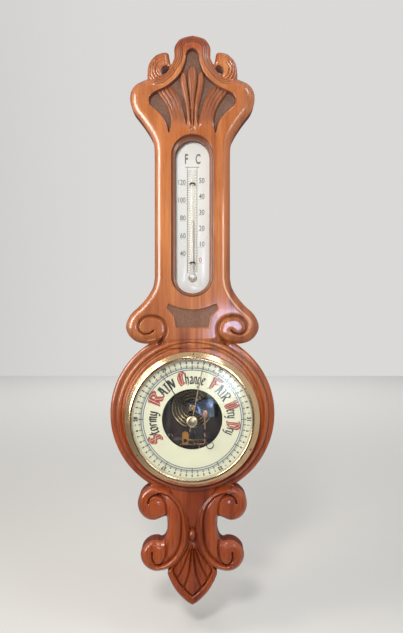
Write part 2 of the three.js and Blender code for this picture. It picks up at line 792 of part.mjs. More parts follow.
function hangerPlate() {
  const plate = slab(hangerOutline(0), 0, hangerThickness, 0, [circle(0, 0, hangingHole, discSides)]);
  return cutBy(plate, hangerScrewPlaces.map(countersink));
}

// Dial and bezel, round an axis at zero

const slopeFoot = rebateFloor + gap + bezelFoot;
const lipUnderside = glassFront + gap;

function bezel() {
  const lipInner = dialRadius - bezelLip;
  const profile = [
    [bezelRadius - bezelWall, rebateFloor + gap], [bezelRadius, rebateFloor + gap],
    [bezelRadius, slopeFoot], [bezelInner + bezelWall / 2, bezelTop - bezelWall / 2],
    [bezelInner - bezelWall, bezelTop], [lipInner + bezelWall / 2, bezelTop],
    [lipInner, bezelTop - bezelWall / 2], [lipInner, lipUnderside], [bezelInner, lipUnderside],
    [bezelInner, glassBack - gap - retainerSection - gap],
    [bezelRadius - bezelWall, slopeFoot], [bezelRadius - bezelWall, rebateFloor + gap],
  ];
  const holes = bezelPinPlaces.map(([x, y]) =>
    moved(rod(bezelPinRadius + gap, rebateFloor, bezelTop + overrun, screwSides), x, y - dialCentre));
  return cutBy(turned(profile, ringSides), holes);
}

// The sloping face's level at a radius
const slopeLevel = (radius) => {
  const share = (bezelRadius - radius) / (bezelRadius - bezelInner - bezelWall / 2);
  return slopeFoot + share * (bezelTop - bezelWall / 2 - slopeFoot);
};

function bezelPin() {
  const seat = slopeLevel(bezelRadius - bezelFoot - gap - bezelPinHead) + gap;
  const foot = rebateFloor - bezelPinDepth;
  return turned([
    [0, foot], [bezelPinRadius, foot], [bezelPinRadius, seat], [bezelPinHead, seat],
    [bezelPinHead * pinDomeShare, seat + bezelPinRadius * pinDomeShare], [0, seat + bezelPinRadius],
  ], screwSides);
}

function dialGlass() {
  const edge = glassThickness / 2;
  return turned([
    [spindleRadius + gap, glassBack], [dialRadius, glassBack], [dialRadius, glassBack + edge],
    [dialRadius - glassBevel, glassFront], [spindleRadius + gap, glassFront],
    [spindleRadius + gap, glassBack],
  ], ringSides);
}

function glassRing() {
  const top = glassBack - gap;
  return turned([
    [dialRadius - retainerSection, top - retainerSection], [dialRadius, top - retainerSection],
    [dialRadius, top], [dialRadius - retainerSection, top],
    [dialRadius - retainerSection, top - retainerSection],
  ], ringSides);
}

function dialPlate() {
  return turned([
    [dialOpening, dialBack], [dialRadius, dialBack], [dialRadius, dialFront],
    [dialOpening, dialFront], [dialOpening, dialBack],
  ], ringSides);
}

function movementCan() {
  const flangeTop = rebateFloor + gap + canWall;
  const body = turned([
    [0, canBackInset], [canRadius, canBackInset], [canRadius, rebateFloor + gap],
    [canRadius + canFlange, rebateFloor + gap], [canRadius + canFlange, flangeTop],
    [canRadius, flangeTop], [canRadius, canRim], [canRadius - canWall, canRim],
    [canRadius - canWall, canFront], [0, canFront],
  ], ringSides);
  const access = moved(rod(adjustingRadius + canWall, 0, canFront + overrun, boreSides),
    -adjustingLeft, -adjustingDrop);
  return cutBy(body, [access, ...screwHoles(baseScrewPlaces, canBackInset, canFront)]);
}

const baseScrewPlaces = baseScrewAngles.map((degrees) => {
  const angle = THREE.MathUtils.degToRad(degrees);
  return [baseScrewRing * Math.cos(angle), baseScrewRing * Math.sin(angle)];
});

// Movement, round the arbor at zero

const springCentre = springBack + springOuterRadius;
const legFront = springBack + springThickness;
const capsuleBack = legFront + capsuleSeat;
const capsuleFront = capsuleBack + capsuleHeight;
const postFoot = capsuleFront + corrugationDepth + gap;
const leverFootFront = springFront + gap + armThickness;
const leverLevel = leverFootFront + leverRadius - gap;
const leverEnd = -shaftDrop + shortArm;
const leverTop = leverEnd + leverLength;
const leverScrewPlace = [leverAcross, leverTop - leverFootLength / 2];
const longArmTop = drumBack + drumLength / 2;
const cockBack = bridgeBack - arborBack;
const bracketScrewPlaces = [
  [-shaftLeft + bracketDepth / 2, -shaftDrop], [shaftRight - bracketDepth / 2, -shaftDrop],
];
const springScrewPlaces = [-1, 1].map((side) => [
  springScrewAcross, capsuleRise + side * springScrewSpacing / 2,
]);
const pillarPlaces = [[-bridgeLeft, -bridgeLeftDrop], [bridgeRight, -bridgeRightDrop]];

const screwHoles = (places, back, top) =>
  places.map(([x, y]) => moved(rod(screwShank + gap, back - overrun, top + overrun, screwSides), x, y));

function movementBase() {
  const places = [...baseScrewPlaces, ...bracketScrewPlaces, ...springScrewPlaces, ...pillarPlaces];
  const adjusting = moved(rod(adjustingRadius + gap, baseBack - overrun, baseFront + overrun, boreSides),
    -adjustingLeft, -adjustingDrop);
  return cutBy(rod(baseRadius, baseBack, baseFront, ringSides), [
    ...screwHoles(places, baseBack, baseFront), adjusting,
  ]);
}

function vacuumCapsule() {
  const rim = capsuleHeight * capsuleEdgeShare;
  const waves = corrugationShares.map((share, i) => [
    capsuleRadius * share, capsuleFront - (i % 2) * corrugationDepth,
  ]);
  return moved(turned([
    [0, legFront + gap], [capsuleBoss, legFront + gap], [capsuleBoss, capsuleBack],
    [capsuleRadius - rim, capsuleBack], [capsuleRadius, capsuleBack + rim],
    [capsuleRadius, capsuleFront - rim], ...waves, [capsuleBoss, capsuleFront],
    [capsuleBoss, capsuleFront + corrugationDepth], [0, capsuleFront + corrugationDepth],
  ], discSides), 0, capsuleRise);
}

function capsulePost() {
  const top = springFront + collarOfPost;
  return moved(turned([
    [0, postFoot], [capsuleBoss * postFootShare, postFoot],
    [capsuleBoss * postFootShare, postFoot + armThickness],
    [postRadius, postFoot + armThickness], [postRadius, top], [0, top],
  ], rodSides), 0, capsuleRise);
}

function postCollar() {
  const back = springFront + gap;
  const top = back + collarOfPost * collarHeightShare;
  const bore = postRadius + gap;
  return moved(turned([
    [bore, back], [collarOfPost, back], [collarOfPost, top - armThickness],
    [collarOfPost * collarTopShare, top], [bore, top], [bore, back],
  ], discSides), 0, capsuleRise);
}

function cSpring() {
  const inner = springOuterRadius - springThickness;
  const quarter = Math.PI / 2;
  const bend = (radius, from, to) => arc(springReach, springCentre, radius, from, to, endSteps);
  const outline = [
    new THREE.Vector2(-springFoot, springBack), ...bend(springOuterRadius, -quarter, quarter),
    new THREE.Vector2(-springTip, springFront), new THREE.Vector2(-springTip, springFront - springThickness),
    ...bend(inner, quarter, -quarter), new THREE.Vector2(-springFoot, legFront),
  ];
  const strip = moved(slab(outline, 0, springWidth).rotate([90, 0, 0]), 0, springWidth / 2);
  const half = springWidth / 2 + overrun;
  const tip = collarOfPost + springThickness / 2;
  const plan = smooth([
    new THREE.Vector2(-springFoot - overrun, tip), new THREE.Vector2(springTip, tip + springThickness / 2),
    new THREE.Vector2(springReach - springTip, half),
    new THREE.Vector2(springReach + springOuterRadius + overrun, half),
  ], 3);
  const whole = [...plan, ...plan.map((point) => new THREE.Vector2(point.x, -point.y)).reverse()];
  const shaped = moved(strip.intersect(slab(whole, 0, springFront + overrun)), 0, capsuleRise);
  const postHole = moved(
    rod(postRadius + gap, legFront + overrun, springFront + overrun, boreSides), 0, capsuleRise);
  return cutBy(shaped, [
    postHole,
    ...screwHoles(springScrewPlaces, springBack, legFront),
    ...screwHoles([leverScrewPlace], springFront - springThickness, springFront),
  ]);
}

function mainLever() {
  const foot = box(leverAcross - leverFootWidth / 2, leverAcross + leverFootWidth / 2,
    leverTop - leverFootLength, leverTop, springFront + gap, leverFootFront);
  const arm = bar([
    new THREE.Vector3(leverAcross, leverTop - leverFootLength + leverRadius * 2, leverLevel),
    new THREE.Vector3(leverAcross, (leverTop + leverEnd) / 2, leverLevel),
    new THREE.Vector3(leverAcross, leverEnd - leverRadius, leverLevel),
  ], leverRadius, screwSides, 4);
  return cutBy(foot.add(arm), screwHoles([leverScrewPlace], springFront, leverFootFront));
}

function linkRod() {
  const back = shaftHeight + armThickness / 2 + gap;
  const top = leverLevel - leverRadius - gap;
  return moved(rod(linkRadius, back, top, screwSides), leverAcross, leverEnd);
}

const alongX = (solid) => solid.rotate([0, 90, 0]);

function rockingShaft() {
  const shaft = moved(alongX(rod(shaftRadius, -shaftLeft - overrun, shaftRight + overrun, rodSides)),
    0, -shaftDrop, shaftHeight);
  const half = armThickness / 2;
  const short = box(leverAcross - half, leverAcross + half, -shaftDrop, leverEnd + half,
    shaftHeight - half, shaftHeight + half);
  const long = box(chainAcross - half, chainAcross + half, -shaftDrop - half, -shaftDrop + half,
    shaftHeight, longArmTop + chainRadius + gap);
  return joined([shaft, short, long]);
}

function shaftBracket() {
  const back = baseFront + gap;
  const half = bracketDepth / 2;
  const low = -shaftDrop - half;
  const floor = box(-shaftLeft, shaftRight, low, low + bracketDepth, back, back + bracketThickness);
  const ear = (left) => box(left, left + bracketThickness, low, low + bracketDepth,
    back, shaftHeight + shaftRadius * 2);
  const bore = moved(alongX(rod(shaftRadius + gap, -shaftLeft - overrun, shaftRight + overrun, rodSides)),
    0, -shaftDrop, shaftHeight);
  return cutBy(joined([floor, ear(-shaftLeft), ear(shaftRight - bracketThickness)]), [
    bore, ...screwHoles(bracketScrewPlaces, back, back + bracketThickness),
  ]);
}

// The chain runs from the long arm past the drum's lower left side
const chainFoot = new THREE.Vector2(chainAcross, -shaftDrop + armThickness / 2 + chainRadius / 2 + gap);
const chainOffset = drumRadius + chainRadius + gap;
const chainTop = (() => {
  const reach = chainFoot.length();
  const bearing = Math.atan2(-chainFoot.y, -chainFoot.x);
  const lean = Math.asin(chainOffset / reach);
  const length = reach * Math.cos(lean) + drumRadius * 2;
  return chainFoot.clone().add(
    new THREE.Vector2(Math.cos(bearing + lean), Math.sin(bearing + lean)).multiplyScalar(length));
})();

function driveChain() {
  const at = (point) => new THREE.Vector3(point.x, point.y, longArmTop);
  const middle = chainFoot.clone().lerp(chainTop, 0.5);
  return bar([at(chainFoot), at(middle), at(chainTop)], chainRadius, wireSides, 4);
}

function arborBridge() {
  const boss = hairspringInner + hairspringPitch * hairspringTurns + hairspringWire / 2 + gap;
  const centre = new THREE.Vector2(0, 0);
  const arm = ([x, y]) => slab(band([centre, new THREE.Vector2(x, y)], bridgeWidth, 1, 1),
    bridgeBack, bridgeFront);
  const end = ([x, y]) => moved(rod(bridgeWidth / 2, bridgeBack, bridgeFront, discSides), x, y);
  const left = -boss - bridgeThickness;
  const half = bridgeWidth / 4;
  const cock = joined([
    box(left, left + bridgeThickness, -half, half, cockBack, bridgeBack + gap),
    box(left, half, -half, half, cockBack, cockBack + bridgeThickness),
  ]);
  const plate = joined([
    rod(boss + bridgeThickness, bridgeBack, bridgeFront, discSides),
    ...pillarPlaces.flatMap((place) => [arm(place), end(place)]), cock,
  ]);
  return cutBy(plate, [
    rod(arborRadius + gap, cockBack - overrun, bridgeFront + overrun, boreSides),
    ...screwHoles(pillarPlaces, bridgeBack, bridgeFront),
  ]);
}

function bridgePillar() {
  const back = baseFront + gap;
  const body = turned([
    [0, baseBack], [screwShank, baseBack], [screwShank, back], [pillarRadius, back],
    [pillarRadius, bridgeBack - gap], [0, bridgeBack - gap],
  ], rodSides);
  const thread = rod(screwShank + gap, bridgeBack - pillarScrewLength - gap, bridgeBack + overrun, screwSides);
  return body.subtract(thread);
}

function centreArbor() {
  const cheek = drumRadius + chainRadius * 2;
  const lip = drumSeat / 2;
  const top = pressureHandBack + 2 * handThickness - gap;
  const middle = (bridgeBack + cockBack + bridgeThickness) / 2;
  return turned([
    [0, cockBack + gap], [arborRadius, cockBack + gap], [arborRadius, middle - hairspringWidth],
    [hairspringInner - hairspringWire - gap, middle - hairspringWidth],
    [hairspringInner - hairspringWire - gap, middle + hairspringWidth],
    [arborRadius, middle + hairspringWidth], [arborRadius, drumBack - lip],
    [cheek - chainRadius, drumBack - lip], [cheek - chainRadius, drumBack], [drumRadius, drumBack],
    [drumRadius, drumFront], [arborRadius, drumFront], [arborRadius, top], [0, top],
  ], rodSides);
}

function hairspring() {
  const edge = (shift) => Array.from({ length: hairspringTurns * springTurnSteps + 1 }, (_, i) => {
    const angle = Math.PI + (2 * Math.PI * i) / springTurnSteps;
    const radius = hairspringInner + (hairspringPitch * i) / springTurnSteps + shift;
    return new THREE.Vector2(radius * Math.cos(angle), radius * Math.sin(angle));
  });
  const half = hairspringWire / 2;
  const level = (bridgeBack + cockBack + bridgeThickness - hairspringWidth) / 2;
  return slab([...edge(half), ...edge(-half).reverse()], level, level + hairspringWidth);
}

function adjustingScrew() {
  const back = canBackInset + gap;
  const body = rod(adjustingRadius, back, baseFront + adjustingRadius, rodSides);
  const slot = box(-adjustingRadius - overrun, adjustingRadius + overrun, -screwSlot / 2, screwSlot / 2,
    back - overrun, back + screwSlot);
  return moved(body.subtract(slot), -adjustingLeft, -adjustingDrop);
}

// Hands, pointing up from zero

function pressureHand() {
  const top = pressureHandBack + handThickness;
  const half = pressureHandWidth / 2;
  const ringCentreY = -pressureHandTail + pressureHandRing;
  const blade = [
    [half, 0], [half * bladeSwellShare, pressureHandLength * bladeBellyShare],
    [half, pressureHandLength * bladeTaperShare], [0, pressureHandLength],
    [-half, pressureHandLength * bladeTaperShare],
    [-half * bladeSwellShare, pressureHandLength * bladeBellyShare], [-half, 0],
    [-half, ringCentreY + pressureHandRing - half], [half, ringCentreY + pressureHandRing - half],
  ].map(([x, y]) => new THREE.Vector2(x, y));
  const eye = pressureHandRing - pressureHandWidth * ringWallShare;
  const inner = circle(0, ringCentreY, eye, discSides).reverse();
  const tail = slab(circle(0, ringCentreY, pressureHandRing, discSides), pressureHandBack, top, 0, [inner]);
  const hub = rod(handHub, pressureHandBack, pressureHandBack + 2 * handThickness, discSides);
  const bore = rod(arborRadius + gap, pressureHandBack - overrun, top + overrun, boreSides);
  return joined([slab(blade, pressureHandBack, top), tail, hub]).subtract(bore);
}

function setHand() {
  const top = setHandBack + handThickness;
  const half = setHandWidth / 2;
  const blade = [
    [half, 0], [half, setHandLength * bladeTaperShare], [0, setHandLength],
    [-half, setHandLength * bladeTaperShare], [-half, 0],
    [-half * tailFlareShare, -setHandTail], [half * tailFlareShare, -setHandTail],
  ].map(([x, y]) => new THREE.Vector2(x, y));
  const hub = rod(collarRadius, setHandBack, top, discSides);
  const bore = rod(spindleRadius + gap, setHandBack - overrun, top + overrun, rodSides);
  return joined([slab(blade, setHandBack, top), hub]).subtract(bore);
}

function setHandCollar() {
  const top = collarBack + collarThickness;
  const bore = spindleRadius + gap;
  return turned([
    [bore, collarBack], [collarRadius, collarBack], [collarRadius, top], [bore, top], [bore, collarBack],
  ], discSides);
}

function setHandKnob() {
  const foot = glassFront + gap;
  return turned([
    [0, setHandBack], [spindleRadius, setHandBack], [spindleRadius, foot],
    ...knobShares.map(([side, up]) => [knobRadius * side, foot + knobHeight * up]),
    [0, foot + knobHeight],
  ], discSides);
}

// Assembly

const barometer = new THREE.Group();
const face = new THREE.Group();
face.rotation.x = Math.PI / 2;
barometer.add(face);
const dial = new THREE.Group();
dial.position.y = dialCentre;
face.add(dial);

function add(parent, name, solid, material, place = [0, 0, 0], turn = 0) {
  const mesh = new THREE.Mesh(geometryOf(solid), material);
  mesh.name = name;
  mesh.position.set(...place);
  mesh.rotation.z = THREE.MathUtils.degToRad(turn);
  parent.add(mesh);
}

const addEach = (parent, name, places, solid, material, level = 0) => places.forEach(([x, y], i) =>
  add(parent, `${name}_${i + 1}`, solid, material, [x, y, level]));

add(face, 'carved_case', carvedCase(), oak());
add(face, 'hanger_plate', hangerPlate(), agedBrass());
addEach(face, 'hanger_screw', hangerScrewPlaces, woodScrew(), agedBrass());

add(face, 'thermometer_plate', thermometerPlate(), opal());
add(face, 'thermometer_tube', thermometerTube(), clearGlass(), [0, bulbCentre, tubeLevel]);
add(face, 'mercury_column', mercuryColumn(), mercury(), [0, bulbCentre, tubeLevel]);
const clipPlaces = clipShares.map((share) => [0, tubeTop + share * (bulbCentre - tubeTop)]);
addEach(face, 'tube_clip', clipPlaces, tubeClip().rotate([90, 0, 0]), steel(), tubeLevel);
add(face, 'thermometer_backing', backingBoard(), plainOak());
addEach(face, 'backing_screw', backingScrewPlaces, woodScrew(), agedBrass());

add(dial, 'movement_can', movementCan(), agedBrass());
add(dial, 'movement_base', movementBase(), darkPlate());
addEach(dial, 'base_screw', baseScrewPlaces, machineScrew(baseFront - canBackInset), steel(), baseFront + gap);
add(dial, 'vacuum_capsule', vacuumCapsule(), agedBrass());
add(dial, 'capsule_post', capsulePost(), brass());
add(dial, 'post_collar', postCollar(), brass());
add(dial, 'c_spring', cSpring(), steel());
addEach(dial, 'spring_screw', springScrewPlaces, machineScrew(legFront - baseBack), steel(), legFront + gap);
add(dial, 'main_lever', mainLever(), copper());
add(dial, 'lever_screw', machineScrew(springThickness), copper(), [...leverScrewPlace, leverFootFront + gap]);
add(dial, 'link_rod', linkRod(), steel());
add(dial, 'rocking_shaft', rockingShaft(), copper());
add(dial, 'shaft_bracket', shaftBracket(), agedBrass());
addEach(dial, 'bracket_screw', bracketScrewPlaces, machineScrew(bracketThickness + baseThickness), steel(),
  baseFront + gap + bracketThickness + gap);
add(dial, 'drive_chain', driveChain(), steel());
add(dial, 'centre_arbor', centreArbor(), steel());
add(dial, 'arbor_bridge', arborBridge(), copper());
addEach(dial, 'bridge_pillar', pillarPlaces, bridgePillar(), brass());
addEach(dial, 'bridge_screw', pillarPlaces, machineScrew(pillarScrewLength), steel(), bridgeFront + gap);
add(dial, 'hairspring', hairspring(), blackSteel());
add(dial, 'adjusting_screw', adjustingScrew(), agedBrass());

add(dial, 'dial_plate', dialPlate(), ivory());
add(dial, 'pressure_hand', pressureHand(), blackSteel(), [0, 0, 0], pressureHandAngle);
add(dial, 'set_hand', setHand(), brass(), [0, 0, 0], setHandAngle);
add(dial, 'set_hand_collar', setHandCollar(), brass());
add(dial, 'set_hand_knob', setHandKnob(), brass());
add(dial, 'dial_glass', dialGlass(), clearGlass());
add(dial, 'glass_ring', glassRing(), agedBrass());
add(dial, 'bezel', bezel(), brass());
bezelPinPlaces.forEach(([x, y], i) =>
  add(face, `bezel_pin_${i + 1}`, bezelPin(), agedBrass(), [x, y, 0]));

export default barometer;
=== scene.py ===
import json
import logging
import math
from dataclasses import dataclass, field
from enum import Enum
from typing import Sequence

import bmesh
import bpy
import numpy as np
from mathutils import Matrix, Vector
from mathutils.geometry import tessellate_polygon

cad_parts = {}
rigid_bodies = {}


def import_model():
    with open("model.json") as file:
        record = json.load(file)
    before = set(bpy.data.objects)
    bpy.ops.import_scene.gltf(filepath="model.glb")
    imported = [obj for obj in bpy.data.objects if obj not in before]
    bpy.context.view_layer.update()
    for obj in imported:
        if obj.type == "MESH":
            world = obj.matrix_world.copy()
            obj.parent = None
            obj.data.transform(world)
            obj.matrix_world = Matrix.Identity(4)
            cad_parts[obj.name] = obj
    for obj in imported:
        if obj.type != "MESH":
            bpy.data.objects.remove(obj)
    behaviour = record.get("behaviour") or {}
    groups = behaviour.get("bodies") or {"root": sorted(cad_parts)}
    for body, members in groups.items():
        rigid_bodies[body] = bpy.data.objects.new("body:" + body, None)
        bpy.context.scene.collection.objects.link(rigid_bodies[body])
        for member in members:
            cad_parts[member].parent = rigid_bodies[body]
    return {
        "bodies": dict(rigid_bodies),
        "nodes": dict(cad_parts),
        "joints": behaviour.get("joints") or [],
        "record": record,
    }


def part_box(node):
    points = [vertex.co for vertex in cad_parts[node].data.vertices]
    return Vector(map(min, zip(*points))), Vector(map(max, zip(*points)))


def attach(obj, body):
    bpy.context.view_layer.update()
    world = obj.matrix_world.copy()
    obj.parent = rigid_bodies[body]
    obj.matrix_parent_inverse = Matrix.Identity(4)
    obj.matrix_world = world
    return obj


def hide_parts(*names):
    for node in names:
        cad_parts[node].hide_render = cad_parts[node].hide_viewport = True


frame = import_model()

log = logging.getLogger("barometer")

MM = 0.001
SOFTENED_FROM = 40.0  # least angle in degrees of an edge that is softened
HOLE_SIDES = 24
BORE_SIDES = 32
FINE_SIDES = 256

Points = Sequence[Sequence[float]]
Pair = tuple[float, float]
Colour = tuple[float, float, float]
Place = tuple[float, float, float]


class Slot(Enum):
    """Material slots of the record."""

    OAK = "oak"
    PLAIN_OAK = "plain_oak"
    BRASS = "brass"
    AGED_BRASS = "aged_brass"
    COPPER = "copper"
    STEEL = "steel"
    BLACK_STEEL = "black_steel"
    DARK_PLATE = "dark_plate"
    IVORY = "ivory"
    OPAL = "opal"
    CLEAR_GLASS = "clear_glass"
    MERCURY = "mercury"


class Body(Enum):
    """Moving bodies of the frame."""

    CASE = "case"
    SET_HAND = "set_hand"
    PRESSURE_HAND = "pressure_hand"
    ROCKING_SHAFT = "rocking_shaft"
    MAIN_LEVER = "main_lever"
    LINK_ROD = "link_rod"
    DRIVE_CHAIN = "drive_chain"
    ADJUSTING_SCREW = "adjusting_screw"


class Axis(Enum):
    """Axis of a turned piece: out of the wall, up the case, or across it."""

    OUT = "out"
    UP = "up"
    ACROSS = "across"


class Rays(Enum):
    """What a lamp's light does."""

    ALL = "all"
    LIT_ONLY = "lit_only"
    GLINTS_ONLY = "glints_only"
    SHEEN_ONLY = "sheen_only"


class Align(Enum):
    """Side of a word that its place marks."""

    LEFT = "LEFT"
    CENTRE = "CENTER"
    RIGHT = "RIGHT"


@dataclass(frozen=True)
class Span:
    """Where a solid of the frame lies, in millimetres: across, up, and out of the wall."""

    left: float
    right: float
    low: float
    high: float
    back: float
    front: float

    @classmethod
    def of(cls, node: str) -> "Span":
        """Measure a solid of the frame.

        Args:
            node: Name of the solid.

        Returns:
            Its extent on the case's face.
        """
        lowest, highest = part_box(node)
        return cls(
            left=lowest.x / MM, right=highest.x / MM, low=lowest.z / MM, high=highest.z / MM,
            back=-highest.y / MM, front=-lowest.y / MM,
        )

    @property
    def centre(self) -> Pair:
        """Middle of the solid on the face."""
        return (self.left + self.right) / 2, (self.low + self.high) / 2

    @property
    def radius(self) -> float:
        """Half of the solid's width."""
        return (self.right - self.left) / 2

    @property
    def depth(self) -> float:
        """Thickness out of the wall."""
        return self.front - self.back


def spline(points: Points, steps: int, closed: bool = False) -> np.ndarray:
    """Run a smooth curve through points.

    Args:
        points: Points to pass through.
        steps: Pieces between each two points.
        closed: Whether the last point leads back to the first.

    Returns:
        The curve's points, both ends included when it is open.
    """
    line = np.asarray(points, float)
    if closed:
        knots = np.concatenate([line[-1:], line, line[:2]])
    else:
        knots = np.concatenate([2 * line[:1] - line[1:2], line, 2 * line[-1:] - line[-2:-1]])
    share = np.linspace(0, 1, steps, endpoint=False)[:, None]
    runs = []
    for before, start, end, after in zip(knots, knots[1:], knots[2:], knots[3:]):
        runs.append(0.5 * (
            2 * start + (end - before) * share
            + (2 * before - 5 * start + 4 * end - after) * share ** 2
            + (3 * start - before - 3 * end + after) * share ** 3
        ))
    curve = np.concatenate(runs)
    return curve if closed else np.concatenate([curve, line[-1:]])


def ring_points(radius: float, sides: int, centre: Pair = (0, 0)) -> np.ndarray:
    """Points of a circle, anticlockwise."""
    angles = np.linspace(0, 2 * math.pi, sides, endpoint=False)
    return np.stack([centre[0] + radius * np.cos(angles), centre[1] + radius * np.sin(angles)], 1)


def arc_points(centre: Pair, radius: float, start: float, end: float, steps: int) -> np.ndarray:
    """Points of an arc, angles in degrees."""
    angles = np.radians(np.linspace(start, end, steps + 1))
    return np.stack([centre[0] + radius * np.cos(angles), centre[1] + radius * np.sin(angles)], 1)


def oblong(half_width: float, top: float, bottom: float, steps: int = 32) -> np.ndarray:
    """Outline of an upright slot with round ends."""
    upper = arc_points((0, top - half_width), half_width, 0, 180, steps)
    lower = arc_points((0, bottom + half_width), half_width, 180, 360, steps)
    return np.concatenate([upper, lower])


def solid(name: str, points: Points, faces: Sequence[Sequence[int]]) -> bpy.types.Object:
    """Make an object from points on the case's face.

    Args:
        name: Name of the piece.
        points: Points across, up, and out of the wall, in millimetres.
        faces: Faces as rows of point numbers.

    Returns:
        The new object, linked to the scene.
    """
    mesh = bpy.data.meshes.new(name)
    rows = [(x * MM, -out * MM, y * MM) for x, y, out in points]
    mesh.from_pydata(rows, [], [tuple(face) for face in faces])
    mesh.validate()
    piece = bpy.data.objects.new(name, mesh)
    bpy.context.scene.collection.objects.link(piece)
    return piece


def turned(
    name: str, profile: Points, sides: int = 96, at: Pair = (0, 0), axis: Axis = Axis.OUT,
    level: float = 0,
) -> bpy.types.Object:
    """Turn a piece on a lathe.

    Args:
        name: Name of the piece.
        profile: Radius and place along the axis of each point, in order. It starts and ends on
            the axis, or its last point is its first one.
        sides: Facets round the axis.
        at: Place of the axis on the face.
        axis: Direction of the axis.
        level: Height of an axis that lies along the face.

    Returns:
        The turned piece.
    """
    closed = tuple(profile[0]) == tuple(profile[-1])
    rows = list(profile[:-1] if closed else profile)
    points, rings = [], []
    angles = np.linspace(0, 2 * math.pi, sides, endpoint=False)
    for radius, along in rows:
        spots = angles if radius > 0 else angles[:1]
        rings.append([len(points) + i for i in range(len(spots))])
        for angle in spots:
            side, other = radius * math.cos(angle), radius * math.sin(angle)
            if axis is Axis.OUT:
                points.append((at[0] + side, at[1] + other, along))
            elif axis is Axis.UP:
                points.append((at[0] + other, at[1] + along, level + side))
            else:
                points.append((at[0] + along, at[1] + side, level + other))
    faces = []
    pairs = list(zip(rings, rings[1:])) + ([(rings[-1], rings[0])] if closed else [])
    for lower, upper in pairs:
        for i in range(sides):
            j = (i + 1) % sides
            quad = [ring[k % len(ring)] for ring, k in ((lower, i), (lower, j), (upper, j), (upper, i))]
            corners = list(dict.fromkeys(quad))
            if len(corners) > 2:
                faces.append(corners)
    piece = solid(name, points, faces)
    outward(piece)
    return piece


def outward(piece: bpy.types.Object) -> None:
    """Turn all faces of a closed piece outward."""
    shape = bmesh.new()
    shape.from_mesh(piece.data)
    bmesh.ops.recalc_face_normals(shape, faces=shape.faces)
    shape.to_mesh(piece.data)
    shape.free()


def plate(
    name: str, outline: Points, back: float, front: float, holes: Sequence[Points] = (),
    chamfer: float = 0,
) -> bpy.types.Object:
    """Cut a flat piece from sheet.

    Args:
        name: Name of the piece.
        outline: Outline on the face, in millimetres.
        back: Level of its back.
        front: Level of its front.
        holes: Outlines of the holes through it.
        chamfer: Width of the broken edge, or zero.

    Returns:
        The plate.
    """
    rim = [tuple(point) for point in outline]
    count = len(rim)
    points = [(x, y, back) for x, y in rim] + [(x, y, front) for x, y in rim]
    faces = [list(range(count))[::-1], list(range(count, 2 * count))]
    faces += [[i, (i + 1) % count, count + (i + 1) % count, count + i] for i in range(count)]
    piece = solid(name, points, faces)
    outward(piece)
    for hole in holes:
        cut(piece, plate(name + "_hole", hole, back - 1, front + 1))
    if chamfer:
        soften(piece, chamfer)
    return piece


def applied(piece: bpy.types.Object) -> None:
    """Fix a piece's modifiers into its mesh."""
    bpy.context.view_layer.update()
    graph = bpy.context.evaluated_depsgraph_get()
    mesh = bpy.data.meshes.new_from_object(piece.evaluated_get(graph))
    old = piece.data
    piece.modifiers.clear()
    piece.data = mesh
    bpy.data.meshes.remove(old)


def combine(piece: bpy.types.Object, tool: bpy.types.Object, operation: str) -> None:
    """Join or cut a piece with another solid, which is used up.

    Args:
        piece: Solid that stays.
        tool: Solid that is added or taken away.
        operation: Name of the operation.
    """
    change = piece.modifiers.new("change", "BOOLEAN")
    change.solver = "MANIFOLD"
    change.operation = operation
    change.object = tool
    applied(piece)
    bpy.data.objects.remove(tool)


def cut(piece: bpy.types.Object, *tools: bpy.types.Object) -> bpy.types.Object:
    """Cut tools out of a piece."""
    for tool in tools:
        combine(piece, tool, "DIFFERENCE")
    return piece


def join(piece: bpy.types.Object, *others: bpy.types.Object) -> bpy.types.Object:
    """Make one solid of several that overlap."""
    for other in others:
        combine(piece, other, "UNION")
    return piece


def soften(piece: bpy.types.Object, width: float, segments: int = 2) -> bpy.types.Object:
    """Break the sharp edges of a piece.

    Args:
        piece: Solid with sharp edges.
        width: Width of the rounding, in millimetres.
        segments: Facets across the rounding.

    Returns:
        The same piece.
    """
    edge = piece.modifiers.new("edge", "BEVEL")
    edge.width = width * MM
    edge.segments = segments
    edge.limit_method = "ANGLE"
    edge.angle_limit = math.radians(SOFTENED_FROM)
    applied(piece)
    return piece


def swept(
    name: str, path: Points, radius: float, sides: int = 12, closed: bool = False,
) -> bpy.types.Object:
    """Bend a round wire along a path.

    Args:
        name: Name of the piece.
        path: Points across, up, and out of the wall.
        radius: Radius of the wire.
        sides: Facets round the wire.
        closed: Whether the wire is a closed loop.

    Returns:
        The wire, with flat ends unless it is closed.
    """
    line = [Vector(point) for point in path]
    count = len(line)
    points = []
    side = None
    for i, at in enumerate(line):
        if closed:
            along = (line[(i + 1) % count] - line[i - 1]).normalized()
        else:
            along = (line[min(i + 1, count - 1)] - line[max(i - 1, 0)]).normalized()
        if side is None:
            side = along.orthogonal().normalized()
        side = (side - along * side.dot(along)).normalized()
        other = along.cross(side)
        for turn in range(sides):
            angle = 2 * math.pi * turn / sides
            points.append(at + radius * (math.cos(angle) * side + math.sin(angle) * other))
    faces = []
    for i in range(count if closed else count - 1):
        here, there = i * sides, (i + 1) % count * sides
        for turn in range(sides):
            after = (turn + 1) % sides
            faces.append([here + turn, here + after, there + after, there + turn])
    if not closed:
        faces += [list(range(sides))[::-1], list(range((count - 1) * sides, count * sides))]
    piece = solid(name, points, faces)
    outward(piece)
    return piece


def block(
    name: str, left: float, right: float, low: float, high: float, back: float, front: float,
) -> bpy.types.Object:
    """Saw a rectangular piece."""
    outline = [(left, low), (right, low), (right, high), (left, high)]
    return plate(name, outline, back, front)


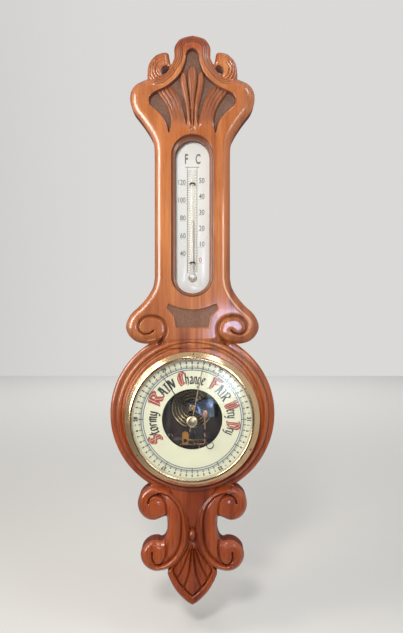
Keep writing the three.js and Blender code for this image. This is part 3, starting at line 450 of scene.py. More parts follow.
def drill(
    piece: bpy.types.Object, centre: Pair, radius: float, back: float, front: float,
    sides: int = HOLE_SIDES,
) -> bpy.types.Object:
    """Drill a round hole between two levels.

    Args:
        piece: Solid to drill.
        centre: Place of the hole on the face.
        radius: Radius of the hole.
        back: Level that it starts from.
        front: Level that it ends at.
        sides: Facets round it.

    Returns:
        The same piece.
    """
    return cut(piece, plate("hole", ring_points(radius, sides, centre), back, front))


def store(piece: bpy.types.Object, name: str, values: np.ndarray) -> None:
    """Keep a value at each point of a piece, for its finish to read."""
    layer = piece.data.attributes.new(name, "FLOAT", "POINT")
    layer.data.foreach_set("value", values.astype(np.float32))


def numbered(name: str, count: int) -> list[str]:
    """Names of solids that are numbered from one."""
    return [f"{name}_{i + 1}" for i in range(count)]


def turned_about(points: Points, degrees: float, centre: Pair) -> np.ndarray:
    """Turn points on the face anticlockwise about a centre."""
    angle = math.radians(degrees)
    turn = np.array([[math.cos(angle), math.sin(angle)], [-math.sin(angle), math.cos(angle)]])
    return np.asarray(points, float) @ turn + np.array(centre)


class Shader:
    """A material or node group under construction."""

    def __init__(self, tree: bpy.types.NodeTree) -> None:
        """Start on a node tree.

        Args:
            tree: Tree that receives the nodes.
        """
        self.tree = tree

    def node(self, kind: str, **settings) -> bpy.types.Node:
        """Add a node.

        Args:
            kind: Node type, without its prefix.
            **settings: Attributes of the node.

        Returns:
            The node.
        """
        node = self.tree.nodes.new("ShaderNode" + kind)
        for key, value in settings.items():
            setattr(node, key, value)
        return node

    def feed(self, socket: bpy.types.NodeSocket, value) -> None:
        """Link an output to a socket, or set the socket's own value."""
        if isinstance(value, bpy.types.NodeSocket):
            self.tree.links.new(value, socket)
        elif isinstance(value, tuple) and len(value) == 3 and socket.type == "RGBA":
            socket.default_value = (*value, 1)
        else:
            socket.default_value = value

    def noise(self, where, scale: float, detail: float = 4, roughness: float = 0.55):
        """Smooth noise over a position, as a factor."""
        node = self.node("TexNoise")
        self.feed(node.inputs["Vector"], where)
        self.feed(node.inputs["Scale"], scale)
        self.feed(node.inputs["Detail"], detail)
        self.feed(node.inputs["Roughness"], roughness)
        return node.outputs["Fac"]

    def stretched(self, where, size: Colour):
        """A position with its directions scaled apart."""
        node = self.node("Mapping")
        self.feed(node.inputs["Vector"], where)
        self.feed(node.inputs["Scale"], Vector(size))
        return node.outputs["Vector"]

    def ramp(self, value, low: float, high: float, start=0.0, end=1.0):
        """A value spread smoothly from one range to another."""
        node = self.node("MapRange", interpolation_type="SMOOTHSTEP")
        for name, given in zip(
            ("Value", "From Min", "From Max", "To Min", "To Max"), (value, low, high, start, end)
        ):
            self.feed(node.inputs[name], given)
        return node.outputs["Result"]

    def math(self, operation: str, first, second=0.0):
        """A sum, product or other operation on two values."""
        node = self.node("Math", operation=operation)
        self.feed(node.inputs[0], first)
        self.feed(node.inputs[1], second)
        return node.outputs[0]

    def mix(self, share, first, second, blend: str = "MIX"):
        """A mix of two colours."""
        node = self.node("Mix", data_type="RGBA", blend_type=blend)
        self.feed(node.inputs["Factor"], share)
        self.feed(node.inputs[6], first)
        self.feed(node.inputs[7], second)
        return node.outputs[2]

    def bump(self, height, strength: float, distance: float):
        """A normal from a height, with its distance in millimetres."""
        node = self.node("Bump")
        self.feed(node.inputs["Height"], height)
        self.feed(node.inputs["Strength"], strength)
        self.feed(node.inputs["Distance"], distance * MM)
        return node.outputs["Normal"]

    def place(self):
        """Position on the object."""
        return self.node("TexCoord").outputs["Object"]

    def measure(self, name: str):
        """A value that the mesh carries at each point."""
        return self.node("Attribute", attribute_name=name).outputs["Fac"]

    def group(self, tree: bpy.types.NodeTree, **values):
        """Place a node group.

        Args:
            tree: Group to place.
            **values: Values of its inputs, with underscores for spaces.

        Returns:
            The group node's outputs by name.
        """
        node = self.node("Group")
        node.node_tree = tree
        for key, value in values.items():
            self.feed(node.inputs[key.replace("_", " ")], value)
        return node.outputs

    def principled(self, **values) -> bpy.types.Node:
        """Add the surface shader.

        Args:
            **values: Values of its inputs, with underscores for spaces.

        Returns:
            The shader node.
        """
        node = self.node("BsdfPrincipled")
        for key, value in values.items():
            self.feed(node.inputs[key.replace("_", " ")], value)
        return node


GROUPS: dict[str, bpy.types.NodeTree] = {}


def shared(name: str, inputs: dict[str, str], outputs: dict[str, str]) -> tuple[Shader, dict, dict]:
    """Start a node group.

    Args:
        name: Name of the group.
        inputs: Socket types of its inputs by name.
        outputs: Socket types of its outputs by name.

    Returns:
        The group under construction, its input sockets and its output sockets.
    """
    tree = bpy.data.node_groups.new(name, "ShaderNodeTree")
    for key, kind in inputs.items():
        tree.interface.new_socket(name=key, in_out="INPUT", socket_type="NodeSocket" + kind)
    for key, kind in outputs.items():
        tree.interface.new_socket(name=key, in_out="OUTPUT", socket_type="NodeSocket" + kind)
    GROUPS[name] = tree
    shader = Shader(tree)
    first = tree.nodes.new("NodeGroupInput")
    last = tree.nodes.new("NodeGroupOutput")
    return shader, dict(first.outputs.items()), dict(last.inputs.items())


def grain_group() -> bpy.types.NodeTree:
    """Oak figure that runs up the board: rings, pores and rays."""
    if "oak_grain" in GROUPS:
        return GROUPS["oak_grain"]
    shader, given, out = shared(
        "oak_grain",
        {"Light": "Color", "Middle": "Color", "Dark": "Color", "Pore Depth": "Float"},
        {"Color": "Color", "Height": "Float", "Pores": "Float"},
    )
    where = shader.place()
    sway = shader.noise(shader.stretched(where, (9, 9, 2.2)), 1, 3)
    bands = shader.noise(shader.stretched(where, (110, 60, 2.6)), 1, 5, 0.6)
    figure = shader.math("ADD", shader.math("MULTIPLY", bands, 0.75), shader.math("MULTIPLY", sway, 0.4))
    tone = shader.mix(shader.ramp(figure, 0.44, 0.66), given["Dark"], given["Middle"])
    broad = shader.ramp(shader.noise(shader.stretched(where, (30, 30, 5)), 1, 4), 0.36, 0.66)
    fine = shader.ramp(shader.noise(shader.stretched(where, (420, 300, 9)), 1, 3, 0.6), 0.35, 0.62)
    lit = shader.math("MULTIPLY", broad, shader.math("ADD", shader.math("MULTIPLY", fine, 0.55), 0.45))
    tone = shader.mix(lit, tone, given["Light"])
    pores = shader.noise(shader.stretched(where, (760, 500, 22)), 1, 3, 0.65)
    pores = shader.ramp(pores, 0.57, 0.67)
    rays = shader.ramp(shader.noise(shader.stretched(where, (160, 700, 60)), 1, 2), 0.66, 0.74)
    dark = shader.mix(1.0, tone, (0.42, 0.32, 0.26), "MULTIPLY")
    tone = shader.mix(shader.math("MULTIPLY", pores, 0.75), tone, dark)
    tone = shader.mix(shader.math("MULTIPLY", rays, 0.22), tone, given["Light"])
    shader.feed(out["Color"], tone)
    sunk = shader.math("MULTIPLY", pores, given["Pore Depth"])
    shader.feed(out["Height"], shader.math("SUBTRACT", shader.math("MULTIPLY", bands, 0.35), sunk))
    shader.feed(out["Pores"], pores)
    return GROUPS["oak_grain"]


def handling_group() -> bpy.types.NodeTree:
    """Smears and fine dust that change the gloss of a handled surface."""
    if "handling" in GROUPS:
        return GROUPS["handling"]
    shader, given, out = shared(
        "handling",
        {"Gloss": "Float", "Spread": "Float", "Scale": "Float"},
        {"Roughness": "Float", "Mask": "Float", "Height": "Float"},
    )
    where = shader.place()
    smears = shader.noise(where, given["Scale"], 5, 0.6)
    fine = shader.noise(where, shader.math("MULTIPLY", given["Scale"], 9.0), 2)
    mask = shader.ramp(smears, 0.4, 0.7)
    both = shader.math("ADD", shader.math("MULTIPLY", mask, 0.75), shader.math("MULTIPLY", fine, 0.25))
    rough = shader.math("ADD", given["Gloss"], shader.math("MULTIPLY", both, given["Spread"]))
    shader.feed(out["Roughness"], rough)
    shader.feed(out["Mask"], mask)
    shader.feed(out["Height"], fine)
    return GROUPS["handling"]


FINISHES: dict[str, bpy.types.Material] = {}


@dataclass(frozen=True)
class Finish:
    """A surface finish that is built once and then shared."""

    name: str

    def material(self) -> bpy.types.Material:
        """Build the material, or fetch it."""
        if self.name in FINISHES:
            return FINISHES[self.name]
        made = bpy.data.materials.new("finish_" + self.name)
        FINISHES[self.name] = made
        made.use_nodes = True
        made.node_tree.nodes.clear()
        shader = Shader(made.node_tree)
        surface = self.surface(shader)
        out = shader.node("OutputMaterial")
        shader.feed(out.inputs["Surface"], surface)
        return made

    def surface(self, shader: Shader):
        """Build the surface.

        Args:
            shader: Material under construction.

        Returns:
            Output socket of the surface's shader.
        """
        raise NotImplementedError


@dataclass(frozen=True)
class CarvedOak(Finish):
    """Glossy varnished oak, with painted shade where the carving is deep, on its lower part, crown top,
    leaves and side walls.
    """

    light: Colour = (0.54, 0.195, 0.058)
    middle: Colour = (0.38, 0.112, 0.030)
    dark: Colour = (0.20, 0.046, 0.013)
    # Colour of the painted shade in the carving's hollows, grooves and carved lines
    hollow: Colour = (0.075, 0.017, 0.008)
    ground: Colour = (0.125, 0.058, 0.040)
    # Tint of the painted shade toward the bottom and on the crown's top, also darker near the outline
    stain: Colour = (0.86, 0.45, 0.22)
    # Greyer painted shade on the leaves and the crown's top
    worn: Colour = (0.54, 0.48, 0.54)
    # Colour of the painted shade on the side walls
    side_tone: Colour = (0.42, 0.30, 0.27)
    pore_depth: float = 0.6
    coat: float = 0.7
    coat_roughness: float = 0.10

    def surface(self, shader: Shader):
        """Oak figure, painted shade in the hollows and a matt stippled ground."""
        grain = shader.group(
            grain_group(), Light=self.light, Middle=self.middle, Dark=self.dark,
            Pore_Depth=self.pore_depth,
        )
        # Painted shade in hollows, grooves and carved lines
        hollow = shader.measure("hollow")
        ground = shader.measure("ground")
        # Painted shade multiplied in: darker toward the bottom, on the crown's top, and darker near the
        # outline
        shaded_tone = shader.mix(shader.measure("stain"), grain["Color"], self.stain, "MULTIPLY")
        # Painted shade on the side walls
        side = shader.measure("side")
        shaded_tone = shader.mix(side, shaded_tone, self.side_tone, "MULTIPLY")
        # Painted shade on the leaves and the crown's top
        shaded_tone = shader.mix(shader.measure("dull"), shaded_tone, self.worn, "MULTIPLY")
        # Painted shade in the hollows laid over the wood
        tone = shader.mix(hollow, shaded_tone, self.hollow)
        where = shader.place()
        stipple = shader.noise(where, 900, 2, 0.7)
        speckle = shader.mix(shader.ramp(stipple, 0.4, 0.62), self.ground, (0.20, 0.12, 0.085))
        tone = shader.mix(ground, tone, speckle)
        handling = shader.group(handling_group(), Gloss=0.3, Spread=0.22, Scale=35.0)
        matt = shader.math("MAXIMUM", ground, shader.math("MULTIPLY", shader.measure("dull"), 0.6))
        matt = shader.math("MAXIMUM", matt, shader.math("MULTIPLY", side, 1.4))
        rough = shader.math("ADD", handling["Roughness"], shader.math("MULTIPLY", matt, 0.4))
        dulled = shader.math("MULTIPLY", ground, 2.2)
        height = shader.math("ADD", grain["Height"], shader.math("MULTIPLY", stipple, dulled))
        bare = shader.math("MAXIMUM", ground, side)
        bare = shader.math("MAXIMUM", bare, shader.measure("dull"))
        bare = shader.math("MAXIMUM", bare, shader.math("MULTIPLY", hollow, 1.05))
        coat = shader.math("MULTIPLY", shader.math("SUBTRACT", 1.0, bare), self.coat)
        return shader.principled(
            Base_Color=tone, Roughness=rough, Coat_Weight=coat, Coat_Roughness=self.coat_roughness,
            Normal=shader.bump(height, 0.5, 0.12),
        ).outputs[0]


@dataclass(frozen=True)
class PlainOak(Finish):
    """Thin unvarnished oak."""

    light: Colour = (0.50, 0.33, 0.18)
    middle: Colour = (0.42, 0.26, 0.135)
    dark: Colour = (0.30, 0.17, 0.085)

    def surface(self, shader: Shader):
        """Dry oak figure."""
        grain = shader.group(
            grain_group(), Light=self.light, Middle=self.middle, Dark=self.dark, Pore_Depth=0.7,
        )
        rough = shader.ramp(grain["Pores"], 0, 1, 0.62, 0.85)
        return shader.principled(
            Base_Color=grain["Color"], Roughness=rough, Normal=shader.bump(grain["Height"], 0.6, 0.15),
        ).outputs[0]


@dataclass(frozen=True)
class Metal(Finish):
    """A metal with smears, tarnish and fine working marks."""

    colour: Colour = (0.8, 0.8, 0.8)
    tarnish: Colour = (0.4, 0.3, 0.2)
    gloss: float = 0.2
    spread: float = 0.18
    age: float = 0.3
    scale: float = 90.0
    marks: float = 0.02
    metallic: float = 1.0

    def tone(self, shader: Shader, handling):
        """Colour of the metal with its tarnish in patches."""
        return shader.mix(shader.math("MULTIPLY", handling["Mask"], self.age), self.colour, self.tarnish)

    def surface(self, shader: Shader):
        """Metal with smears that change its gloss."""
        handling = shader.group(handling_group(), Gloss=self.gloss, Spread=self.spread, Scale=self.scale)
        tone = self.tone(shader, handling)
        return shader.principled(
            Base_Color=tone, Metallic=self.metallic, Roughness=handling["Roughness"],
            Normal=shader.bump(handling["Height"], 0.25, self.marks),
        ).outputs[0]


@dataclass(frozen=True)
class RibbedMetal(Metal):
    """A metal with a painted highlight on its ribs and darker between them."""

    bright: Colour = (0.9, 0.72, 0.44)

    def tone(self, shader: Shader, handling):
        """Colour of the metal, with a painted highlight on its ribs."""
        return shader.mix(shader.measure("rib"), Metal.tone(self, shader, handling), self.bright)


@dataclass(frozen=True)
class Enamel(Finish):
    """A smooth painted or printed surface, a little aged."""

    colour: Colour = (0.8, 0.8, 0.8)
    aged: Colour = (0.7, 0.7, 0.6)
    gloss: float = 0.3
    coat: float = 0.2

    def surface(self, shader: Shader):
        """Even colour with faint ageing."""
        handling = shader.group(handling_group(), Gloss=self.gloss, Spread=0.12, Scale=22.0)
        fleck = shader.ramp(shader.noise(shader.place(), 420, 3), 0.66, 0.76, 0, 0.35)
        tone = shader.mix(shader.math("MULTIPLY", handling["Mask"], 0.6), self.colour, self.aged)
        tone = shader.mix(fleck, tone, self.aged)
        return shader.principled(
            Base_Color=tone, Roughness=handling["Roughness"], Coat_Weight=self.coat,
            Coat_Roughness=0.12, Normal=shader.bump(handling["Height"], 0.15, 0.02),
        ).outputs[0]


@dataclass(frozen=True)
class Glass(Finish):
    """Clear glass that lets lamplight through to what it covers."""

    tint: Colour = (0.97, 0.99, 0.98)
    passed: Colour = (1.0, 1.0, 1.0)
    bend: float = 1.5

    def surface(self, shader: Shader):
        """Glass with barely visible smears."""
        handling = shader.group(handling_group(), Gloss=0.0, Spread=0.02, Scale=30.0)
        glass = shader.principled(
            Base_Color=self.tint, Roughness=handling["Roughness"], Transmission_Weight=1.0,
            IOR=self.bend,
        )
        clear = shader.node("BsdfTransparent")
        shader.feed(clear.inputs["Color"], self.passed)
        both = shader.node("MixShader")
        shader.feed(both.inputs[0], shader.node("LightPath").outputs["Is Shadow Ray"])
        shader.feed(both.inputs[1], glass.outputs[0])
        shader.feed(both.inputs[2], clear.outputs[0])
        return both.outputs[0]


CARVED_OAK = CarvedOak("varnished_oak")
PLAIN_OAK = PlainOak("plain_oak")
BRASS = Metal("polished_brass", (0.90, 0.66, 0.36), (0.62, 0.42, 0.20), 0.13, 0.16, 0.35, 70.0)
WARM_BRASS = Metal("warm_brass", (0.88, 0.61, 0.35), (0.58, 0.38, 0.20), 0.15, 0.16, 0.4, 70.0)
PALE_BRASS = Metal("pale_brass", (0.86, 0.72, 0.46), (0.66, 0.50, 0.28), 0.3, 0.14, 0.3, 90.0)
AGED_BRASS = Metal("aged_brass", (0.30, 0.22, 0.11), (0.15, 0.105, 0.055), 0.24, 0.2, 0.6, 90.0, 0.03)
BRONZE = Metal("warm_bronze", (0.50, 0.22, 0.05), (0.30, 0.12, 0.03), 0.35, 0.2, 0.5, 140.0, 0.03)
DULL_BRASS = Metal("dull_brass", (0.50, 0.36, 0.24), (0.34, 0.24, 0.16), 0.32, 0.14, 0.4, 90.0)
DARK_STEEL = Metal("dark_steel", (0.20, 0.25, 0.35), (0.09, 0.09, 0.11), 0.13, 0.12, 0.45, 120.0)
# Dark capsule metal, with a painted highlight colour on its ribs
CAPSULE_BRASS = RibbedMetal(
    "capsule_brass", (0.17, 0.135, 0.09), (0.10, 0.08, 0.05), 0.10, 0.06, 0.5, 120.0)
# Near-black steel for the arbor bridge: painted shade over the bridge
SHADOWED_STEEL = Metal("shadowed_steel", (0.045, 0.042, 0.045), (0.03, 0.025, 0.02), 0.3, 0.2, 0.5, 140.0)
COPPER = Metal("copper", (0.78, 0.42, 0.26), (0.40, 0.17, 0.10), 0.22, 0.2, 0.45, 160.0)
STEEL = Metal("polished_steel", (0.62, 0.66, 0.72), (0.30, 0.32, 0.36), 0.1, 0.16, 0.35, 120.0)
BLUED_STEEL = Metal("blued_steel", (0.035, 0.038, 0.050), (0.02, 0.016, 0.014), 0.22, 0.2, 0.5, 160.0)
DARK_PLATE = Enamel("dark_lacquer", (0.030, 0.016, 0.012), (0.055, 0.035, 0.025), 0.35, 0.3)
IVORY = Enamel("ivory_enamel", (0.65, 0.64, 0.47), (0.585, 0.565, 0.395), 0.36, 0.10)
OPAL = Enamel("opal_glass", (0.70, 0.715, 0.71), (0.64, 0.66, 0.65), 0.2, 0.15)
BLACK_INK = Enamel("black_ink", (0.018, 0.017, 0.020), (0.04, 0.038, 0.04), 0.4, 0.0)
RED_INK = Enamel("red_ink", (0.30, 0.036, 0.022), (0.27, 0.05, 0.035), 0.4, 0.0)
BLUE_INK = Enamel("blue_grey_ink", (0.11, 0.14, 0.19), (0.16, 0.19, 0.24), 0.4, 0.0)
GREY_INK = Enamel("grey_ink", (0.24, 0.21, 0.16), (0.30, 0.27, 0.22), 0.4, 0.0)
DARK_GREY_INK = Enamel("dark_grey_ink", (0.15, 0.14, 0.13), (0.21, 0.20, 0.19), 0.4, 0.0)
CLEAR_GLASS = Glass("clear_glass")
TUBE_GLASS = Glass("tube_glass", (0.93, 0.91, 0.86), (0.90, 0.89, 0.86), 1.25)
MERCURY = Metal("mercury", (0.80, 0.81, 0.83), (0.70, 0.71, 0.74), 0.16, 0.05, 0.2, 200.0, 0.0, 0.7)


def dress(
    piece: bpy.types.Object, finish: Finish, body: Body = Body.CASE,
    nodes: Sequence[str] = (), crease: float = 35,
) -> bpy.types.Object:
    """Finish a piece and mount it on its body.

    Args:
        piece: Piece in its place.
        finish: Its surface.
        body: Body that carries it.
        nodes: Solids of the frame that it stands for.
        crease: Angle in degrees from which an edge stays sharp.

    Returns:
        The same piece.
    """
    mesh = piece.data
    mesh.materials.clear()
    mesh.materials.append(finish.material())
    mesh.polygons.foreach_set("use_smooth", [True] * len(mesh.polygons))
    mesh.set_sharp_from_angle(angle=math.radians(crease))
    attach(piece, body.value)
    if nodes:
        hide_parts(*nodes)
    log.info("%s: %d faces, %s, rides on %s", piece.name, len(mesh.polygons), finish.name, body.value)
    return piece


class Relief:
    """Heights over the right half of the carved board, on an even grid, in millimetres."""

    def __init__(self, half_width: float, top: float, bottom: float, cell: float) -> None:
        """Lay out the grid.

        Args:
            half_width: Half width of the board.
            top: Its highest place.
            bottom: Its lowest place.
            cell: Spacing of the grid.
        """
        self.cell = cell
        self.x = np.arange(int(half_width / cell) + 4) * cell
        self.y = bottom - 2 * cell + np.arange(int((top - bottom) / cell) + 6) * cell
        self.across, self.up = np.meshgrid(self.x, self.y)
        self.height = np.zeros_like(self.across)

    def window(self, low: Pair, high: Pair, reach: float) -> tuple[slice, slice]:
        """Rows and columns within reach of a box."""
        rows = np.searchsorted(self.y, (low[1] - reach, high[1] + reach))
        columns = np.searchsorted(self.x, (low[0] - reach, high[0] + reach))
        return slice(*rows), slice(*columns)

    def away_from(self, spot: Pair) -> np.ndarray:
        """Distance of each grid point from a place."""
        return np.hypot(self.across - spot[0], self.up - spot[1])

    def stroke(self, line: np.ndarray, widths) -> tuple[np.ndarray, np.ndarray]:
        """Measure the grid against a line of changing width.

        Args:
            line: Points of the line.
            widths: Reach of the line at each point, or one reach for all.

        Returns:
            Distance as a share of the reach, at most 1, and the side that a point lies on: above
            zero on the left of the line's direction.
        """
        reach = np.broadcast_to(widths, len(line)).astype(float)
        near = np.ones_like(self.across)
        side = np.zeros_like(self.across)
        for a, b, wide_a, wide_b in zip(line[:-1], line[1:], reach[:-1], reach[1:]):
            part = self.window(np.minimum(a, b), np.maximum(a, b), max(wide_a, wide_b))
            px, py = self.across[part] - a[0], self.up[part] - a[1]
            run = b - a
            share = np.clip((px * run[0] + py * run[1]) / max(run @ run, 1e-9), 0, 1)
            away = np.hypot(px - share * run[0], py - share * run[1])
            away = away / (wide_a + share * (wide_b - wide_a))
            closer = away < near[part]
            near[part] = np.where(closer, away, near[part])
            side[part] = np.where(closer, run[0] * py - run[1] * px, side[part])
        return near, np.sign(side)

    def inside(self, loop: np.ndarray) -> np.ndarray:
        """Which grid points lie within a closed loop."""
        found = np.zeros(self.across.shape, bool)
        for a, b in zip(loop, np.roll(loop, -1, axis=0)):
            rows = slice(*np.searchsorted(self.y, sorted((a[1], b[1]))))
            if rows.start < rows.stop:
                crossing = a[0] + (self.y[rows] - a[1]) * (b[0] - a[0]) / (b[1] - a[1])
                found[rows] ^= self.x[None, :] < crossing[:, None]
        return found

    def depth_in(self, line: np.ndarray, reach: float, loop: bool) -> np.ndarray:
        """Distance inside an outline, below zero outside it.

        Args:
            line: The outline, or its right half from the centre line to the centre line.
            reach: Greatest distance that counts.
            loop: Whether the line closes on itself.

        Returns:
            Distance of each grid point, from minus reach to reach.
        """
        closed = np.concatenate([line, line[:1]]) if loop else line
        away = self.stroke(closed, reach)[0] * reach
        return np.where(self.inside(line), away, -away)

    def sample(self, values: np.ndarray, x: np.ndarray, y: np.ndarray) -> np.ndarray:
        """Read grid values between the grid's points."""
        column = np.clip((np.abs(x) - self.x[0]) / self.cell, 0, len(self.x) - 1.001)
        row = np.clip((y - self.y[0]) / self.cell, 0, len(self.y) - 1.001)
        i, j = row.astype(int), column.astype(int)
        v, u = row - i, column - j
        low = values[i, j] * (1 - u) + values[i, j + 1] * u
        high = values[i + 1, j] * (1 - u) + values[i + 1, j + 1] * u
        return low * (1 - v) + high * v


def rise(value: np.ndarray, low: float, high: float) -> np.ndarray:
    """A smooth step from 0 at low to 1 at high."""
    share = np.clip((value - low) / (high - low), 0, 1)
    return share * share * (3 - 2 * share)


def rounded(depth: np.ndarray, top: float, width: float, drop: float) -> np.ndarray:
    """Height of a board whose edge is rounded off, from the distance inside its outline."""
    return top - drop * (1 - np.clip(depth / width, 0, 1)) ** 2


def blurred(values: np.ndarray, cells: int) -> np.ndarray:
    """Average of a grid over a square of cells each way."""
    for axis in (0, 1):
        width = 2 * cells + 1
        wide = np.pad(values, [(cells + 1, cells) if i == axis else (0, 0) for i in (0, 1)], "edge")
        total = np.cumsum(wide, axis=axis)
        ends = np.take(total, range(width, total.shape[axis]), axis=axis)
        starts = np.take(total, range(0, total.shape[axis] - width), axis=axis)
        values = (ends - starts) / width
    return values


@dataclass(frozen=True)
class Region:
    """A stretch of the board that outlines are drawn on as shares: across, and down from its top."""

    half_width: float
    top: float
    length: float

    def points(self, shares: Points) -> np.ndarray:
        """Places of shares on the board, in millimetres."""
        table = np.asarray(shares, float)
        return np.stack([table[:, 0] * self.half_width, self.top - table[:, 1] * self.length], 1)

    def spot(self, share: Pair) -> np.ndarray:
        """Place of one share on the board."""
        return self.points([share])[0]


# Outlines and lines of the carving, as shares of their regions
CROWN = (
    (0, 0), (0.11, 0.012), (0.19, 0.027), (0.23, 0.045), (0.27, 0.075), (0.29, 0.106),
    (0.29, 0.137), (0.29, 0.176), (0.32, 0.216), (0.35, 0.235), (0.42, 0.286), (0.48, 0.314),
    (0.52, 0.33),
)
EAR = (
    (0.34, 0.255), (0.352, 0.226), (0.368, 0.185), (0.385, 0.145), (0.43, 0.132), (0.5, 0.136),
    (0.57, 0.149), (0.65, 0.184), (0.7, 0.227), (0.72, 0.278), (0.72, 0.34), (0.66, 0.4),
    (0.5, 0.36), (0.42, 0.3),
)
EAR_HOLE = (0.441, 0.276)
SHOULDER = (
    (0.28, 0.345), (0.48, 0.361), (0.72, 0.384), (0.88, 0.416), (0.98, 0.459), (1, 0.506),
    (0.96, 0.553), (0.84, 0.604), (0.64, 0.655), (0.46, 0.702), (0.3, 0.749), (0.16, 0.796),
    (0.06, 0.843), (0.01, 0.906), (0, 1),
)
FLARE = (
    (0, 0), (0.05, 0.121), (0.17, 0.227), (0.34, 0.333), (0.55, 0.432), (0.76, 0.515),
    (0.91, 0.606), (1, 0.712), (0.98, 0.803), (0.86, 0.894), (0.67, 0.962), (0.41, 0.997),
    (0.17, 1), (-0.07, 0.98), (-0.24, 0.96), (-0.4, 1.05),
)
RECESS = (
    (0, 0.118), (0.06, 0.129), (0.1, 0.161), (0.11, 0.208), (0.14, 0.255), (0.18, 0.302),
    (0.24, 0.341), (0.32, 0.38), (0.41, 0.416), (0.52, 0.443), (0.62, 0.467), (0.68, 0.498),
    (0.69, 0.529), (0.67, 0.561), (0.59, 0.596), (0.51, 0.635), (0.44, 0.682), (0.4, 0.733),
    (0.375, 0.79), (0.34, 0.8), (0.2, 0.8), (0, 0.8),
)
LEAF_OUTER = (
    (0.6, 0.43), (0.575, 0.455), (0.505, 0.503), (0.43, 0.557), (0.373, 0.624), (0.35, 0.69),
    (0.353, 0.75), (0.38, 0.797),
)
LEAF_INNER = (
    (0.38, 0.34), (0.33, 0.39), (0.25, 0.455), (0.19, 0.52), (0.145, 0.59), (0.11, 0.66),
    (0.09, 0.72), (0.08, 0.8),
)
CENTRE_PETAL = (
    (0, 0.247), (0.045, 0.262), (0.071, 0.294), (0.075, 0.345), (0.065, 0.42), (0.045, 0.49),
    (0.028, 0.57), (0.018, 0.66), (0.012, 0.74), (0, 0.76),
)
SIDE_PETAL = (
    (0.1, 0.318), (0.14, 0.3), (0.18, 0.315), (0.19, 0.385), (0.158, 0.467), (0.117, 0.553),
    (0.092, 0.64), (0.085, 0.76), (0.03, 0.76), (0.026, 0.66), (0.034, 0.565), (0.055, 0.48),
    (0.08, 0.4), (0.088, 0.35),
)
CROWN_BUTTON = (0, 0.755)
PLAQUE = (
    (0, 0.48), (0.18, 0.455), (0.36, 0.388), (0.39, 0.467), (0.33, 0.523), (0.28, 0.598),
    (0.26, 0.712), (0.25, 0.761), (0, 0.761),
)
NECK_CURL = (
    (0.5, 1.0), (0.45, 0.93), (0.405, 0.864), (0.39, 0.773), (0.42, 0.674), (0.49, 0.609),
    (0.6, 0.58), (0.71, 0.598), (0.78, 0.652), (0.81, 0.735), (0.79, 0.811), (0.72, 0.853),
    (0.64, 0.841), (0.58, 0.798),
)
SCROLL = (
    (0.49, 0.021), (0.64, 0.002), (0.76, 0.004), (0.87, 0.029), (0.96, 0.074), (1, 0.132),
    (0.99, 0.19), (0.93, 0.244), (0.82, 0.281), (0.69, 0.289), (0.58, 0.27), (0.49, 0.26),
    (0.46, 0.3), (0.46, 0.355), (0.48, 0.413), (0.52, 0.452), (0.58, 0.468), (0.64, 0.459),
    (0.75, 0.463), (0.85, 0.488), (0.93, 0.533), (0.95, 0.587), (0.91, 0.645), (0.82, 0.69),
    (0.69, 0.715), (0.56, 0.711), (0.47, 0.7), (0.34, 0.668), (0.23, 0.612), (0.15, 0.554),
    (0.09, 0.488), (0.07, 0.405), (0.09, 0.331), (0.12, 0.256), (0.17, 0.19), (0.25, 0.132),
    (0.36, 0.074), (0.42, 0.04),
)
RIB_CREASE = (
    (0.62, 0.062), (0.56, 0.065), (0.47, 0.081), (0.39, 0.107), (0.272, 0.173), (0.209, 0.255),
    (0.197, 0.355), (0.222, 0.47), (0.309, 0.565), (0.455, 0.632), (0.573, 0.656), (0.63, 0.658),
)
TOP_CURL = (
    (0.81, 0.145), (0.785, 0.105), (0.72, 0.08), (0.64, 0.075), (0.56, 0.092), (0.5, 0.132),
    (0.472, 0.19), (0.468, 0.24), (0.475, 0.28),
)
LOW_CURL = (
    (0.478, 0.46), (0.472, 0.53), (0.495, 0.595), (0.555, 0.64), (0.63, 0.655), (0.7, 0.635),
    (0.735, 0.59), (0.728, 0.545),
)
TOP_CURL_DISC = (0.67, 0.18)
LOW_CURL_DISC = (0.655, 0.557)
WEB = (
    (0, -0.04), (0.42, 0), (0.3, 0.12), (0.2, 0.22), (0.14, 0.33), (0.12, 0.45), (0.16, 0.54),
    (0.1, 0.6), (0, 0.6),
)
DROP = (
    (0, 0.48), (0.09, 0.5), (0.2, 0.59), (0.34, 0.67), (0.45, 0.719), (0.43, 0.769),
    (0.37, 0.826), (0.29, 0.884), (0.19, 0.934), (0.09, 0.975), (0, 1),
)
DROP_FLOOR = (
    (0, 0.5), (0.12, 0.53), (0.24, 0.61), (0.33, 0.67), (0.375, 0.715), (0.32, 0.775),
    (0.235, 0.835), (0.14, 0.884), (0, 0.935),
)
DROP_FAN = (0, 0.49)
DROP_BEAD = (0, 0.413)


